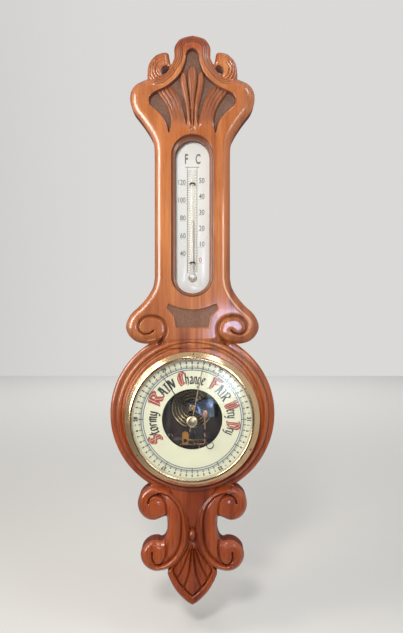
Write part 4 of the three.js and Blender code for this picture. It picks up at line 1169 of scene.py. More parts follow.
@dataclass
class CarvedCase:
    """The carved oak board: crown, stem, neck, dial ring and scrolled tail."""

    cell: float = 0.7
    front: float = 26.0
    edge_width: float = 12.0
    edge_drop: float = 7.5
    head: Region = Region(83.3, 29.8, 168.7)
    neck: Region = Region(88.6, -295.0, 87.3)
    tail: Region = Region(72.8, -571.7, 160.1)
    stem_half_width: float = 50.3
    ear_drop: float = 2.5
    recess_depth: float = 7.5
    plaque_depth: float = 2.4
    ring_radius: float = 110.3
    ring_centre_rise: float = 4.0
    ledge_width: float = 8.3
    ledge_drop: float = 8.0
    window_half_width: float = 23.0
    window_top: float = -109.2
    window_length: float = 206.0
    window_bevel: float = 5.0
    window_step: float = 3.0
    well_radius: float = 72.3
    rebate_radius: float = 89.0
    rebate_depth: float = 1.5
    ring_grooves: Pair = (15.8, 19.6)
    ring_groove_width: float = 1.5
    ring_groove_depth: float = 1.4
    bead_reach: Pair = (5.6, 7.4)
    fan_petals: Points = ((-11.5, 11.5, 5.4), (11.5, 26, 4.6), (26, 42, 2.8))
    crown_lines: tuple[float, ...] = (5.4, 8.2, 11.0)
    crown_line_depth: float = 0.5
    lip: float = 1.4
    clearance: float = 0.3
    hook_radius: float = 7.0
    hook_depth: float = 8.0
    eye_reach: Pair = (7.0, 4.4)
    eye_turn: float = 45.0
    screw_hole: float = 1.8
    pin_hole: float = 1.2
    seat_margin: float = 3.3
    backing_margin: float = 7.0
    backing_depth: float = 3.5
    plate_depth: float = 7.8
    dial: Span = field(default_factory=lambda: Span.of("dial_glass"))
    hanger: Span = field(default_factory=lambda: Span.of("hanger_plate"))

    def build(self) -> None:
        """Carve the board, hollow its back and varnish it."""
        self.relief = Relief(self.ring_radius, self.head.top, self.tail.top - self.tail.length, self.cell)
        self.shape()
        piece = self.blank()
        self.hollow(piece)
        self.note(piece)
        dress(piece, CARVED_OAK, nodes=["carved_case"], crease=58)

    def add(self, depth: np.ndarray, height: np.ndarray) -> None:
        """Lay a region of the board down, over what is lower there."""
        relief = self.relief
        here = depth > -1.6 * self.cell
        relief.height = np.where(here, np.maximum(relief.height, height), relief.height)
        self.outline = np.maximum(self.outline, depth)

    def sink(self, line: np.ndarray, widths, depth: float, where=1.0) -> None:
        """Cut a round-bottomed groove along a line.

        Args:
            line: Centre line of the groove.
            widths: Half width of the groove, one for all or one for each point.
            depth: Depth of its middle.
            where: Share of the depth at each grid point.
        """
        near, _ = self.relief.stroke(line, widths)
        self.relief.height -= depth * where * (1 - near ** 2) ** 1.2

    def shape(self) -> None:
        """Work out the height of the whole front."""
        self.outline = np.full_like(self.relief.across, -99.0)
        self.ground = np.zeros_like(self.relief.across)
        self.leaf = np.zeros_like(self.relief.across)
        self.shade = np.zeros_like(self.relief.across)
        self.lay_ring()
        self.lay_tail()
        self.lay_ears()
        self.lay_board()
        self.carve_crown()
        self.carve_neck()
        self.open_window()

    def lay_ring(self) -> None:
        """The turned ring round the dial, with its low ledge and mouldings."""
        depth = self.ring_radius - self.relief.away_from((0, self.dial.centre[1] + self.ring_centre_rise))
        self.ring_depth = depth
        ledge = rounded(depth, self.front - self.ledge_drop, 5, 3)
        raised = rounded(depth - self.ledge_width, self.front, 5, 5)
        height = np.maximum(ledge, np.where(depth > self.ledge_width, raised, 0))
        height -= 1.6 * rise(depth, 12.5, 15.8)
        for place in self.ring_grooves:
            groove = np.clip(1 - ((depth - place) / self.ring_groove_width) ** 2, 0, 1)
            height -= self.ring_groove_depth * groove
        self.add(depth, height)

    def lay_tail(self) -> None:
        """Web, drop with its fan, bead, and the two scrolls."""
        relief, tail = self.relief, self.tail
        web = relief.depth_in(tail.points(WEB), 20, False)
        down = (tail.top - relief.up) / tail.length
        self.add(web, self.front - 5.5 - 6.0 * rise(down, 0.02, 0.42))
        drop = relief.depth_in(spline(tail.points(DROP), 4), 20, False)
        rim = rounded(drop, self.front - 5, 4, 2.5) - 6 * rise(down, 0.66, 0.56)
        self.add(drop, rim)
        self.carve_fan()
        self.lay_scroll()
        bead = tail.spot(DROP_BEAD)
        wide, high = self.bead_reach
        away = np.hypot((relief.across - bead[0]) / wide, (relief.up - bead[1]) / high)
        dome = self.front - 10.5 + 9.5 * np.sqrt(np.clip(1 - away ** 2, 0, 1))
        relief.height = np.where(away < 1, np.maximum(relief.height, dome), relief.height)

    def carve_fan(self) -> None:
        """Petals that fan out in the sunk floor of the drop."""
        relief, tail = self.relief, self.tail
        floor = relief.depth_in(spline(tail.points(DROP_FLOOR), 4), 20, False)
        start = tail.spot(DROP_FAN)
        angle = np.degrees(np.arctan2(relief.across - start[0], start[1] - relief.up))
        length = relief.away_from(start)
        bent = angle + 5 * np.sin(math.pi * np.clip(length / 62, 0, 1))
        petals = np.zeros_like(angle)
        for low, high, top in self.fan_petals:
            share = np.clip((bent - low) / (high - low), 0, 1)
            petals = np.maximum(petals, top * np.sin(math.pi * share) ** 0.7)
        height = self.front - 11 + petals * rise(floor, 0.2, 3.5)
        share = rise(floor, 0, 1.4)
        relief.height = np.where(floor > 0, relief.height * (1 - share) + height * share, relief.height)

    def lay_scroll(self) -> None:
        """The C-scroll: a round rib, a cove beside it, and a curl at each end."""
        relief, tail = self.relief, self.tail
        body = relief.depth_in(spline(tail.points(SCROLL), 4, True), 20, True)
        height = rounded(body, self.front - 0.3, 7.0, 7.0)
        discs = np.full_like(height, 99.0)
        for share in (TOP_CURL_DISC, LOW_CURL_DISC):
            discs = np.minimum(discs, relief.away_from(tail.spot(share)))
        open_face = rise(discs, 12.5, 16.5)
        crease = spline(tail.points(RIB_CREASE), 6)
        near, side = relief.stroke(crease, 13)
        cove = np.where(side > 0, (1 - near) ** 1.5, np.clip(1 - near * 4.2, 0, 1) ** 1.6)
        height -= 5.0 * cove * open_face
        fade = np.sin(np.linspace(0.05, math.pi - 0.05, len(crease))) ** 0.6
        near, _ = relief.stroke(crease, 1.3 * fade + 0.3)
        height -= 0.5 * (1 - near ** 2) ** 1.2
        for line, start, end in ((TOP_CURL, 1.2, 2.3), (LOW_CURL, 2.3, 1.2)):
            curl = spline(tail.points(line), 6)
            near, _ = relief.stroke(curl, np.linspace(start, end, len(curl)))
            height -= 3.6 * (1 - near ** 2) ** 1.1
        height -= 1.0 * rise(discs, 6, 12) * rise(discs, 14, 12)
        self.add(body, height)

    def lay_ears(self) -> None:
        """The curled ears, with reeds cut round the outer side of each eye."""
        relief, head = self.relief, self.head
        ear = relief.depth_in(spline(head.points(EAR), 4, True), 20, True)
        height = rounded(ear, self.front - self.ear_drop, 7, 6)
        eye = head.spot(EAR_HOLE)
        away = relief.away_from(eye)
        angle = np.degrees(np.arctan2(relief.up - eye[1], relief.across - eye[0]))
        outer = rise(angle, 78, 38) * rise(angle, -88, -60)
        reeds = np.abs(np.sin(math.pi * (away - 8.4) / 3.9)) ** 0.8
        band = rise(away, 9.6, 10.8) * rise(away, 22.5, 21)
        height -= 2.1 * (1 - reeds) * outer * band
        height -= 1.6 * rise(away, 11, 6)
        self.add(ear, height)

    def lay_board(self) -> None:
        """The flat board of head, stem and neck, with well rounded edges."""
        relief = self.relief
        inner, outer = self.stem_half_width, self.head.half_width
        shoulder = self.head.points(SHOULDER)
        shoulder[:, 0] = inner + (shoulder[:, 0] / outer) * (outer - inner)
        flare = self.neck.points(FLARE)
        flare[:, 0] = inner + (flare[:, 0] / self.neck.half_width) * (self.neck.half_width - inner)
        half = np.concatenate([
            spline(self.head.points(CROWN), 6), spline(shoulder, 6), spline(flare, 6),
            [[0, flare[-1, 1]]],
        ])
        board = relief.depth_in(half, 24, False)
        low_end = flare[-1, 1] + 14
        self.board_depth = np.where(relief.up < low_end, np.maximum(board, self.ring_depth - 9), board)
        height = rounded(self.board_depth, self.front, self.edge_width, self.edge_drop)
        self.add(board, height)

    def carve_crown(self) -> None:
        """Reeds along the crown's band, and the leaf panel sunk in it, with painted shade in the reeds and
        round the panel's border.
        """
        relief, head = self.relief, self.head
        along_band = rise(relief.across, 54, 44) * rise(relief.up, head.top - 96, head.top - 84)
        for place in self.crown_lines:
            away = np.abs(self.board_depth - place)
            relief.height -= self.crown_line_depth * np.clip(1 - (away / 1.2) ** 2, 0, 1) * along_band
            self.shade = np.maximum(self.shade, 0.9 * np.clip(1.2 - away / 0.9, 0, 1) * along_band)
        panel = relief.depth_in(spline(head.points(RECESS), 4), 24, False)
        floor = self.front - self.recess_depth
        leaf_edge = spline(head.points(LEAF_OUTER), 6)
        within = np.concatenate([leaf_edge, [[0, leaf_edge[-1, 1]], [0, leaf_edge[0, 1]]]])
        apron = relief.inside(within) * rise(relief.up, self.down_head(0.67), self.down_head(0.755))
        apron = np.maximum(apron, rise(relief.up, self.down_head(0.785), self.down_head(0.797)))
        arris = np.where(panel < 0, np.clip(1 + panel / 2.2, 0, 1) ** 2, 0) * (1 - apron)
        relief.height -= 0.9 * arris
        share = rise(panel, -0.2, 1.7)
        carved = np.maximum(relief.height * (1 - share) + floor * share, self.leaf_height(panel))
        relief.height = carved * (1 - apron) + np.maximum(carved, relief.height) * apron
        away = relief.away_from(head.spot(CROWN_BUTTON))
        relief.height -= 1.5 * np.clip(1 - np.abs(away - 2.6) / 1.3, 0, 1)
        border = np.clip(1.2 - np.abs(panel - 0.3) / 1.1, 0, 1) * (1 - apron)
        self.shade = np.maximum(self.shade, 0.75 * border)
        self.ground = rise(panel, 0.8, 2.0) * rise(relief.height, floor + 1.2, floor + 0.3)
        self.leaf = rise(panel, -0.2, 1.2) * rise(relief.up, self.down_head(0.76), self.down_head(0.64))

    def down_head(self, share: float) -> float:
        """Level of a share down the head."""
        return self.head.top - share * self.head.length

    def leaf_height(self, panel: np.ndarray) -> np.ndarray:
        """Work out the height of the leaves and petals, and darken the shade between their ribs.

        Args:
            panel: Distance inside the panel.

        Returns:
            The height, zero where there is no leaf.
        """
        relief, head = self.relief, self.head
        outer = spline(head.points(LEAF_OUTER), 6)
        inner = spline(head.points(LEAF_INNER), 6)
        leaf = relief.depth_in(np.concatenate([outer, inner[::-1]]), 12, True)
        to_outer = relief.stroke(outer, 60)[0]
        to_inner = relief.stroke(inner, 60)[0]
        share = to_outer / np.maximum(to_outer + to_inner, 1e-6)
        ribs = np.abs(np.sin(math.pi * 4.5 * share)) ** 0.8
        fade = rise(relief.up, self.down_head(0.66), self.down_head(0.56))
        arch = 1.6 * np.sin(math.pi * np.clip(share, 0, 1))
        top = self.front - 2.4 - 4.6 * rise(relief.up, self.down_head(0.52), self.down_head(0.37)) + arch
        height = rounded(leaf, top, 2.4, 2.6) - 1.5 * (1 - ribs) * fade
        on_leaf = (leaf > 0) & (panel > 0)
        self.shade = np.maximum(self.shade, 0.6 * rise(ribs, 0.5, 0.1) * fade * on_leaf)
        best = np.where(on_leaf, height, 0)
        petal = relief.depth_in(spline(head.points(CENTRE_PETAL), 5), 8, False)
        spine = np.clip(1 - relief.across / 1.2, 0, 1) * rise(
            relief.up, self.down_head(0.36), self.down_head(0.46))
        body = rounded(petal, self.front, 5.0, 3.6) - 1.5 * spine
        best = np.where(petal > 0, np.maximum(best, body), best)
        side = relief.depth_in(spline(head.points(SIDE_PETAL), 5, True), 8, True)
        body = rounded(side, self.front - 0.6, 4.6, 3.4)
        return np.where(side > 0, np.maximum(best, body), best)

    def carve_neck(self) -> None:
        """Curls cut into the neck, and the sunk plaque between them."""
        relief, neck = self.relief, self.neck
        curl = spline(neck.points(NECK_CURL), 6)
        taper = np.concatenate([np.full(len(curl) - 30, 2.6), np.linspace(2.6, 1.3, 30)])
        self.sink(curl, taper, 3.4)
        wide, _ = relief.stroke(curl, 7)
        relief.height -= 0.8 * (1 - wide) ** 2
        plaque = relief.depth_in(neck.points(PLAQUE), 10, False)
        share = rise(plaque, -0.1, 1.1)
        floor = self.front - self.plaque_depth
        relief.height = np.where(plaque > -1, relief.height * (1 - share) + floor * share, relief.height)
        self.ground = np.maximum(self.ground, 0.85 * rise(plaque, 0.5, 1.2))

    def open_window(self) -> None:
        """Slope the wood towards the thermometer's window, with painted shade along its bevel."""
        relief = self.relief
        bottom = self.window_top - self.window_length
        half = self.window_half_width
        middle = np.clip(relief.up, bottom + half, self.window_top - half)
        away = np.hypot(relief.across, relief.up - middle) - half
        step = self.window_step * rise(away, self.window_bevel + 0.2, self.window_bevel - 1.0)
        slope = self.front - step - 0.5 * np.clip(self.window_bevel - away, 0, self.window_bevel)
        near = away < self.window_bevel + 1
        relief.height = np.where(near, np.minimum(relief.height, slope), relief.height)
        # Painted shade along the bevel's foot and outer edge
        foot = np.clip(1 - np.abs(away - self.window_bevel + 0.8) / 1.3, 0, 1)
        frame = 0.85 * foot + 0.55 * rise(away, self.window_bevel, self.window_bevel - 1)
        self.shade = np.maximum(self.shade, frame)

    def blank(self) -> bpy.types.Object:
        """Turn the heights into a closed board with its outline cut smooth.

        Returns:
            The carved board, still solid behind.
        """
        relief = self.relief
        edge = self.outline
        middle = (edge[:-1, :-1] + edge[1:, :-1] + edge[:-1, 1:] + edge[1:, 1:]) / 4
        kept = middle > 0
        for _ in range(4):
            lone = kept[:-1, :-1] & kept[1:, 1:] & ~kept[1:, :-1] & ~kept[:-1, 1:]
            cross = ~kept[:-1, :-1] & ~kept[1:, 1:] & kept[1:, :-1] & kept[:-1, 1:]
            kept[1:, :-1] |= lone
            kept[:-1, :-1] |= cross
        rows, columns = relief.across.shape
        number = np.arange(rows * columns).reshape(rows, columns)
        corners = np.stack([number[:-1, :-1], number[:-1, 1:], number[1:, 1:], number[1:, :-1]], -1)
        quads = corners[kept]
        x, y = relief.across.ravel().copy(), relief.up.ravel().copy()
        self.snap(quads, x, y)
        height = relief.sample(relief.height, x, y)
        used = np.unique(quads)
        order = np.full(rows * columns, -1)
        order[used] = np.arange(len(used))
        right = np.stack([x[used], y[used], height[used]], 1)
        on_axis = right[:, 0] < 1e-9
        twin = np.where(on_axis, np.arange(len(used)), len(used) + np.cumsum(~on_axis) - 1)
        left = right[~on_axis] * (-1, 1, 1)
        faces = order[quads]
        faces = np.concatenate([faces, twin[faces][:, ::-1]])
        points = np.concatenate([right, left])
        return self.closed(points, faces)

    def snap(self, quads: np.ndarray, x: np.ndarray, y: np.ndarray) -> None:
        """Move the points on the rim of the kept cells onto the outline, in place."""
        relief = self.relief
        edges = np.concatenate([quads[:, [i, (i + 1) % 4]] for i in range(4)])
        ordered = np.sort(edges, axis=1)
        unique, counts = np.unique(ordered, axis=0, return_counts=True)
        rim = np.unique(unique[counts == 1])
        rim = rim[~((x[rim] < 1e-9) & (np.isin(rim, unique[counts == 2])))]
        slope_y, slope_x = np.gradient(self.outline, self.cell)
        for _ in range(3):
            away = relief.sample(self.outline, x[rim], y[rim])
            gx = relief.sample(slope_x, x[rim], y[rim])
            gy = relief.sample(slope_y, x[rim], y[rim])
            size = np.maximum(gx ** 2 + gy ** 2, 0.4)
            on_axis = x[rim] < 1e-9
            x[rim] -= np.where(on_axis, 0, 0.9 * away * gx / size)
            y[rim] -= 0.9 * away * gy / size
        x[rim] = np.maximum(x[rim], 0)

    def closed(self, points: np.ndarray, faces: np.ndarray) -> bpy.types.Object:
        """Add sides and a flat back to the carved face.

        Args:
            points: Points of the face.
            faces: Its four-cornered faces.

        Returns:
            One closed solid.
        """
        edges = np.concatenate([faces[:, [i, (i + 1) % 4]] for i in range(4)])
        pairs = set(map(tuple, edges.tolist()))
        after = {a: b for a, b in pairs if (b, a) not in pairs}
        loops = []
        while after:
            start, here = after.popitem()
            loop = [start]
            while here != start:
                loop.append(here)
                here = after.pop(here)
            loops.append(loop)
        log.info("board: %d cells, rims of %s points", len(faces), [len(loop) for loop in loops])
        order = [i for loop in loops for i in loop]
        rim = points[order]
        turn = rim - (0, 0, self.lip)
        low = rim * (1, 1, 0)
        count, size = len(points), len(order)
        everything = np.concatenate([points, turn, low])
        sides, base = [], 0
        for loop in loops:
            for i in range(len(loop)):
                here, there = base + i, base + (i + 1) % len(loop)
                first, second = count + here, count + there
                sides.append([order[there], order[here], first, second])
                sides.append([second, first, first + size, second + size])
            base += len(loop)
        flat = [[Vector(points[i]).to_2d().to_3d() for i in loop] for loop in loops]
        back = [[count + size + i for i in face] for face in tessellate_polygon(flat)]
        rows = faces.tolist() + sides + back
        piece = solid("carved_oak_case", everything, rows)
        outward(piece)
        return piece

    def hollow(self, piece: bpy.types.Object) -> None:
        """Cut the wells, the window, the seats at the back and the holes."""
        centre = (0, self.dial.centre[1])
        front, over = self.front, 3.0
        bottom = self.window_top - self.window_length
        margin, wide = self.seat_margin, self.seat_margin + self.backing_margin
        half = self.window_half_width
        drill(piece, centre, self.well_radius, -over, front + over, FINE_SIDES)
        drill(piece, centre, self.rebate_radius, front - self.rebate_depth, front + over, FINE_SIDES)
        cut(piece, plate("window", oblong(half, self.window_top, bottom), -over, front + over))
        seat = oblong(half + margin, self.window_top + margin, bottom - margin)
        cut(piece, plate("plate_seat", seat, -over, self.plate_depth))
        cut(piece, block(
            "backing_seat", -half - wide, half + wide, bottom - wide, self.window_top + wide, -over,
            self.backing_depth))
        hanger, spare = self.hanger, self.clearance
        seat = oblong(hanger.radius + spare, hanger.high + spare, hanger.low - spare)
        cut(piece, plate("hanger_seat", seat, -over, hanger.front + spare))
        drill(piece, (0, 0), self.hook_radius, -over, self.hook_depth, 48)
        eye = self.head.spot(EAR_HOLE)
        for side in (-1, 1):
            oval = ring_points(1, 48) * self.eye_reach
            hole = turned_about(oval, -self.eye_turn * side, (side * eye[0], eye[1]))
            cut(piece, plate("eye", hole, -over, front + over))
        for node in screw_nodes():
            spot = Span.of(node)
            drill(piece, spot.centre, self.screw_hole, -over, spot.front + spare)
        for node in numbered("bezel_pin", 3):
            spot = Span.of(node)
            drill(piece, spot.centre, self.pin_hole, spot.back - spare, front + over)

    def note(self, piece: bpy.types.Object) -> None:
        """Store, for the varnish, painted shade from how deep the carving is at each point, how rough its
        ground is, and painted shade on the leaves, crown top, lower part and side walls.
        """
        relief = self.relief
        # Painted shade in the hollows, stronger where a point lies further below its surroundings
        cavity_shade = blurred(relief.height, 4) - relief.height
        fine = blurred(relief.height, 2) - relief.height
        dark = np.clip(cavity_shade / 3.5, 0, 1) * 0.55 + np.clip(fine / 1.6, 0, 1) * 0.42
        count = len(piece.data.vertices)
        places = np.empty(3 * count, np.float32)
        piece.data.vertices.foreach_get("co", places)
        places = places.reshape(-1, 3) / MM
        level = -places[:, 1]
        on_face = level > self.front - 18
        # Painted shade: darker toward the bottom, and on the crown's top
        low = rise(places[:, 2], self.neck.top - 30, self.neck.top - 270)
        crest_shade = 0.9 * rise(places[:, 2], self.head.top - 40, self.head.top - 8)

        def at_points(values: np.ndarray) -> np.ndarray:
            """Values of the grid at the points of the piece."""
            return relief.sample(values, places[:, 0], places[:, 2])

        # Darker near the outline
        edge = 0.3 * rise(at_points(self.outline), 9, 0)
        # Painted shade in hollows, grooves and carved lines, kept to the face
        store(piece, "hollow", at_points(np.clip(dark + self.shade, 0, 0.92)) * on_face)
        store(piece, "ground", at_points(self.ground) * on_face)
        # Leaves and crown top: painted shade and less gloss
        store(piece, "dull", np.maximum(0.75 * at_points(self.leaf), 0.6 * crest_shade))
        # Painted shade toward the bottom and on the crown's top, with the darkening near the outline
        store(piece, "stain", np.minimum(np.maximum(low, crest_shade) + edge, 1))
        # Painted shade on the side walls
        store(piece, "side", rise(at_points(relief.height) - level, 0.5, 1.3))


def screw_nodes() -> list[str]:
    """Names of the wood screws at the back."""
    return numbered("hanger_screw", 2) + numbered("backing_screw", 4)


@dataclass
class Fixings:
    """Wood screws, hanger plate and backing board behind the case."""

    head_radius: float = 3.2
    shank_radius: float = 1.5
    slot_width: float = 0.7
    slot_depth: float = 0.8
    hanging_hole: float = 5.0

    def build(self) -> None:
        """Make the pieces at the back."""
        for node in screw_nodes():
            self.wood_screw(node)
        self.hanger_plate()
        self.backing_board()

    def wood_screw(self, node: str) -> None:
        """A countersunk slotted screw in the place of a solid."""
        span = Span.of(node)
        cone = self.head_radius - self.shank_radius
        back = span.back
        profile = [
            (0, back), (self.head_radius - 0.15, back), (self.head_radius, back + 0.15),
            (self.shank_radius, back + cone), (self.shank_radius * 0.9, span.front - cone),
            (0, span.front),
        ]
        piece = turned(node + "_turned", profile, 40, span.centre)
        x, y = span.centre
        half = self.slot_width / 2
        cut(piece, block("slot", x - 5, x + 5, y - half, y + half, back - 1, back + self.slot_depth))
        dress(piece, AGED_BRASS, nodes=[node])

    def hanger_plate(self) -> None:
        """Brass plate with the hanging hole and two countersunk holes."""
        span = Span.of("hanger_plate")
        outline = oblong(span.radius, span.high, span.low)
        piece = plate("hanging_plate", outline, span.back, span.front, [ring_points(self.hanging_hole, 64)])
        for node in numbered("hanger_screw", 2):
            self.countersink(piece, node)
        soften(piece, 0.25)
        dress(piece, AGED_BRASS, nodes=["hanger_plate"])

    def countersink(self, piece: bpy.types.Object, node: str) -> None:
        """Cut the seat of a countersunk screw."""
        span = Span.of(node)
        spare = 0.3
        over = 2.0
        profile = [
            (0, -over), (self.head_radius + spare + over, -over),
            (self.shank_radius + spare, self.head_radius - self.shank_radius),
            (self.shank_radius + spare, 9), (0, 9),
        ]
        cut(piece, turned("sink", profile, 48, span.centre))

    def backing_board(self) -> None:
        """Thin oak board behind the thermometer."""
        span = Span.of("thermometer_backing")
        piece = block(
            "backing_strip", span.left, span.right, span.low, span.high, span.back, span.front)
        for node in numbered("backing_screw", 4):
            self.countersink(piece, node)
        soften(piece, 0.4)
        dress(piece, PLAIN_OAK, nodes=["thermometer_backing"])


@dataclass(frozen=True)
class Sign:
    """A printed number or letter: flat letters cut from the plain typeface."""

    text: str
    size: float
    align: Align = Align.CENTRE
    weight: float = 0.0
    narrow: float = 1.0

    def mesh_points(self) -> tuple[np.ndarray, list[list[int]]]:
        """Outline the letters.

        Returns:
            Points of the flat letters in millimetres, and their faces.
        """
        words = bpy.data.curves.new("words", "FONT")
        words.body = self.text
        words.size = self.size
        words.align_x = self.align.value
        words.align_y = "CENTER"
        words.offset = self.weight
        words.resolution_u = 3
        holder = bpy.data.objects.new("words", words)
        bpy.context.scene.collection.objects.link(holder)
        bpy.context.view_layer.update()
        mesh = bpy.data.meshes.new_from_object(holder.evaluated_get(bpy.context.evaluated_depsgraph_get()))
        points = np.array([vertex.co[:2] for vertex in mesh.vertices]).reshape(-1, 2) * (self.narrow, 1)
        faces = [list(face.vertices) for face in mesh.polygons]
        bpy.data.objects.remove(holder)
        bpy.data.curves.remove(words)
        bpy.data.meshes.remove(mesh)
        return points, faces


class Print:
    """Ink of one colour, gathered from many strokes into one thin piece."""

    def __init__(self, level: float, thickness: float = 0.04) -> None:
        """Start a print.

        Args:
            level: Level of the printed surface.
            thickness: Thickness of the ink.
        """
        self.level = level
        self.thickness = thickness
        self.points: list[tuple[float, float, float]] = []
        self.faces: list[list[int]] = []

    def add(self, points: Points, faces: Sequence[Sequence[int]], lift: float = 0) -> None:
        """Add flat faces as a thin closed layer.

        Args:
            points: Points on the face, in millimetres.
            faces: Faces over them.
            lift: How far the layer stands above the others.
        """
        base = len(self.points)
        count = len(points)
        top = self.level + self.thickness + lift
        self.points += [(x, y, self.level) for x, y in points]
        self.points += [(x, y, top) for x, y in points]
        used = {}
        for face in faces:
            self.faces.append([base + count + i for i in face])
            self.faces.append([base + i for i in reversed(face)])
            for a, b in zip(face, [*face[1:], face[0]]):
                used[a, b] = True
        for a, b in used:
            if (b, a) not in used:
                self.faces.append([base + a, base + b, base + count + b, base + count + a])

    def bar(self, start: Pair, end: Pair, width: float) -> None:
        """Add a straight line of a width."""
        a, b = np.array(start, float), np.array(end, float)
        along = (b - a) / np.linalg.norm(b - a)
        side = np.array([-along[1], along[0]]) * width / 2
        self.add([a - side, b - side, b + side, a + side], [[0, 1, 2, 3]])

    def circle(self, centre: Pair, radius: float, width: float, sides: int = 192) -> None:
        """Add a ring of a width."""
        inner = ring_points(radius - width / 2, sides, centre)
        outer = ring_points(radius + width / 2, sides, centre)
        faces = [[i, sides + i, sides + (i + 1) % sides, (i + 1) % sides] for i in range(sides)]
        self.add(np.concatenate([inner, outer]), faces)

    def piece(self, name: str) -> bpy.types.Object:
        """Make the gathered ink into an object."""
        return solid(name, self.points, self.faces)


# Strokes of each letter for a broad pen, in shares of the capitals' height, with its advance last
LETTERS = {
    "S": ([(0.52, 0.8), (0.34, 0.98), (0.12, 0.84), (0.14, 0.62), (0.46, 0.42), (0.5, 0.16),
           (0.28, 0.0), (0.04, 0.14)], [(0.33, 0.9), (0.3, 0.08)], 0.66),
    "R": ([(0.13, 0.98), (0.13, 0.0)], [(0.0, 0.9), (0.3, 1.0), (0.5, 0.84), (0.42, 0.58),
          (0.13, 0.5)], [(0.28, 0.52), (0.48, 0.1), (0.62, 0.02)], 0.7),
    "A": ([(0.04, 0.02), (0.2, 0.2), (0.24, 0.96)], [(0.14, 0.96), (0.36, 0.96), (0.5, 0.1),
          (0.6, 0.02)], [(0.12, 0.42), (0.48, 0.42)], 0.66),
    "I": ([(0.16, 0.98), (0.16, 0.02)], [(0.02, 0.94), (0.3, 1.0)], [(0.02, 0.0), (0.3, 0.06)], 0.36),
    "N": ([(0.12, 0.98), (0.12, 0.02)], [(0.0, 0.94), (0.2, 0.96), (0.46, 0.08), (0.52, 0.98)], 0.64),
    "C": ([(0.54, 0.82), (0.36, 1.0), (0.12, 0.8), (0.08, 0.34), (0.24, 0.02), (0.54, 0.18)],
          [(0.33, 0.96), (0.33, 0.06)], 0.64),
    "F": ([(0.16, 0.98), (0.16, 0.1), (0.04, 0.0)], [(0.02, 0.9), (0.3, 1.0), (0.56, 0.92)],
          [(0.16, 0.54), (0.46, 0.56)], 0.6),
    "V": ([(0.02, 0.9), (0.14, 0.98), (0.14, 0.2), (0.34, 0.0), (0.54, 0.28), (0.52, 0.8),
           (0.38, 1.0)], [(0.34, 0.86), (0.34, 0.1)], 0.66),
    "D": ([(0.0, 0.94), (0.3, 1.0), (0.54, 0.74), (0.52, 0.24), (0.3, 0.0), (0.04, 0.04)],
          [(0.2, 0.94), (0.2, 0.06)], 0.66),
    "a": ([(0.08, 0.52), (0.22, 0.62), (0.34, 0.52), (0.34, 0.1), (0.44, 0.02)],
          [(0.34, 0.34), (0.12, 0.24), (0.1, 0.1), (0.2, 0.0), (0.34, 0.1)], 0.48),
    "e": ([(0.36, 0.1), (0.22, 0.0), (0.1, 0.12), (0.1, 0.48), (0.24, 0.62), (0.35, 0.48),
           (0.12, 0.28)], 0.44),
    "g": ([(0.34, 0.56), (0.2, 0.62), (0.09, 0.5), (0.09, 0.14), (0.2, 0.02), (0.34, 0.12)],
          [(0.35, 0.6), (0.35, -0.1), (0.22, -0.26), (0.06, -0.2)], 0.48),
    "h": ([(0.1, 0.98), (0.1, 0.02)], [(0.1, 0.48), (0.24, 0.62), (0.35, 0.5), (0.35, 0.06),
          (0.26, -0.12)], 0.48),
    "m": ([(0.1, 0.6), (0.1, 0.02)], [(0.1, 0.48), (0.22, 0.62), (0.31, 0.52), (0.31, 0.02)],
          [(0.31, 0.48), (0.43, 0.62), (0.52, 0.52), (0.52, 0.08), (0.6, 0.0)], 0.66),
    "n": ([(0.1, 0.6), (0.1, 0.02)], [(0.1, 0.48), (0.24, 0.62), (0.34, 0.52), (0.34, 0.08),
          (0.42, 0.0)], 0.48),
    "o": ([(0.22, 0.62), (0.09, 0.5), (0.09, 0.12), (0.22, 0.0), (0.36, 0.12), (0.36, 0.5),
           (0.22, 0.62)], 0.48),
    "r": ([(0.1, 0.6), (0.1, 0.02)], [(0.1, 0.46), (0.22, 0.6), (0.34, 0.54)], 0.38),
    "t": ([(0.14, 0.84), (0.14, 0.12), (0.24, 0.0), (0.34, 0.1)], [(0.02, 0.58), (0.32, 0.6)], 0.38),
    "y": ([(0.09, 0.6), (0.09, 0.14), (0.22, 0.02), (0.35, 0.12)], [(0.35, 0.6), (0.35, -0.08),
          (0.2, -0.26), (0.06, -0.2)], 0.48),
}


@dataclass(frozen=True)
class Word:
    """A weather word that bends round the dial, its first letter in red."""

    text: str
    start: float
    end: float
    capitals: bool = False


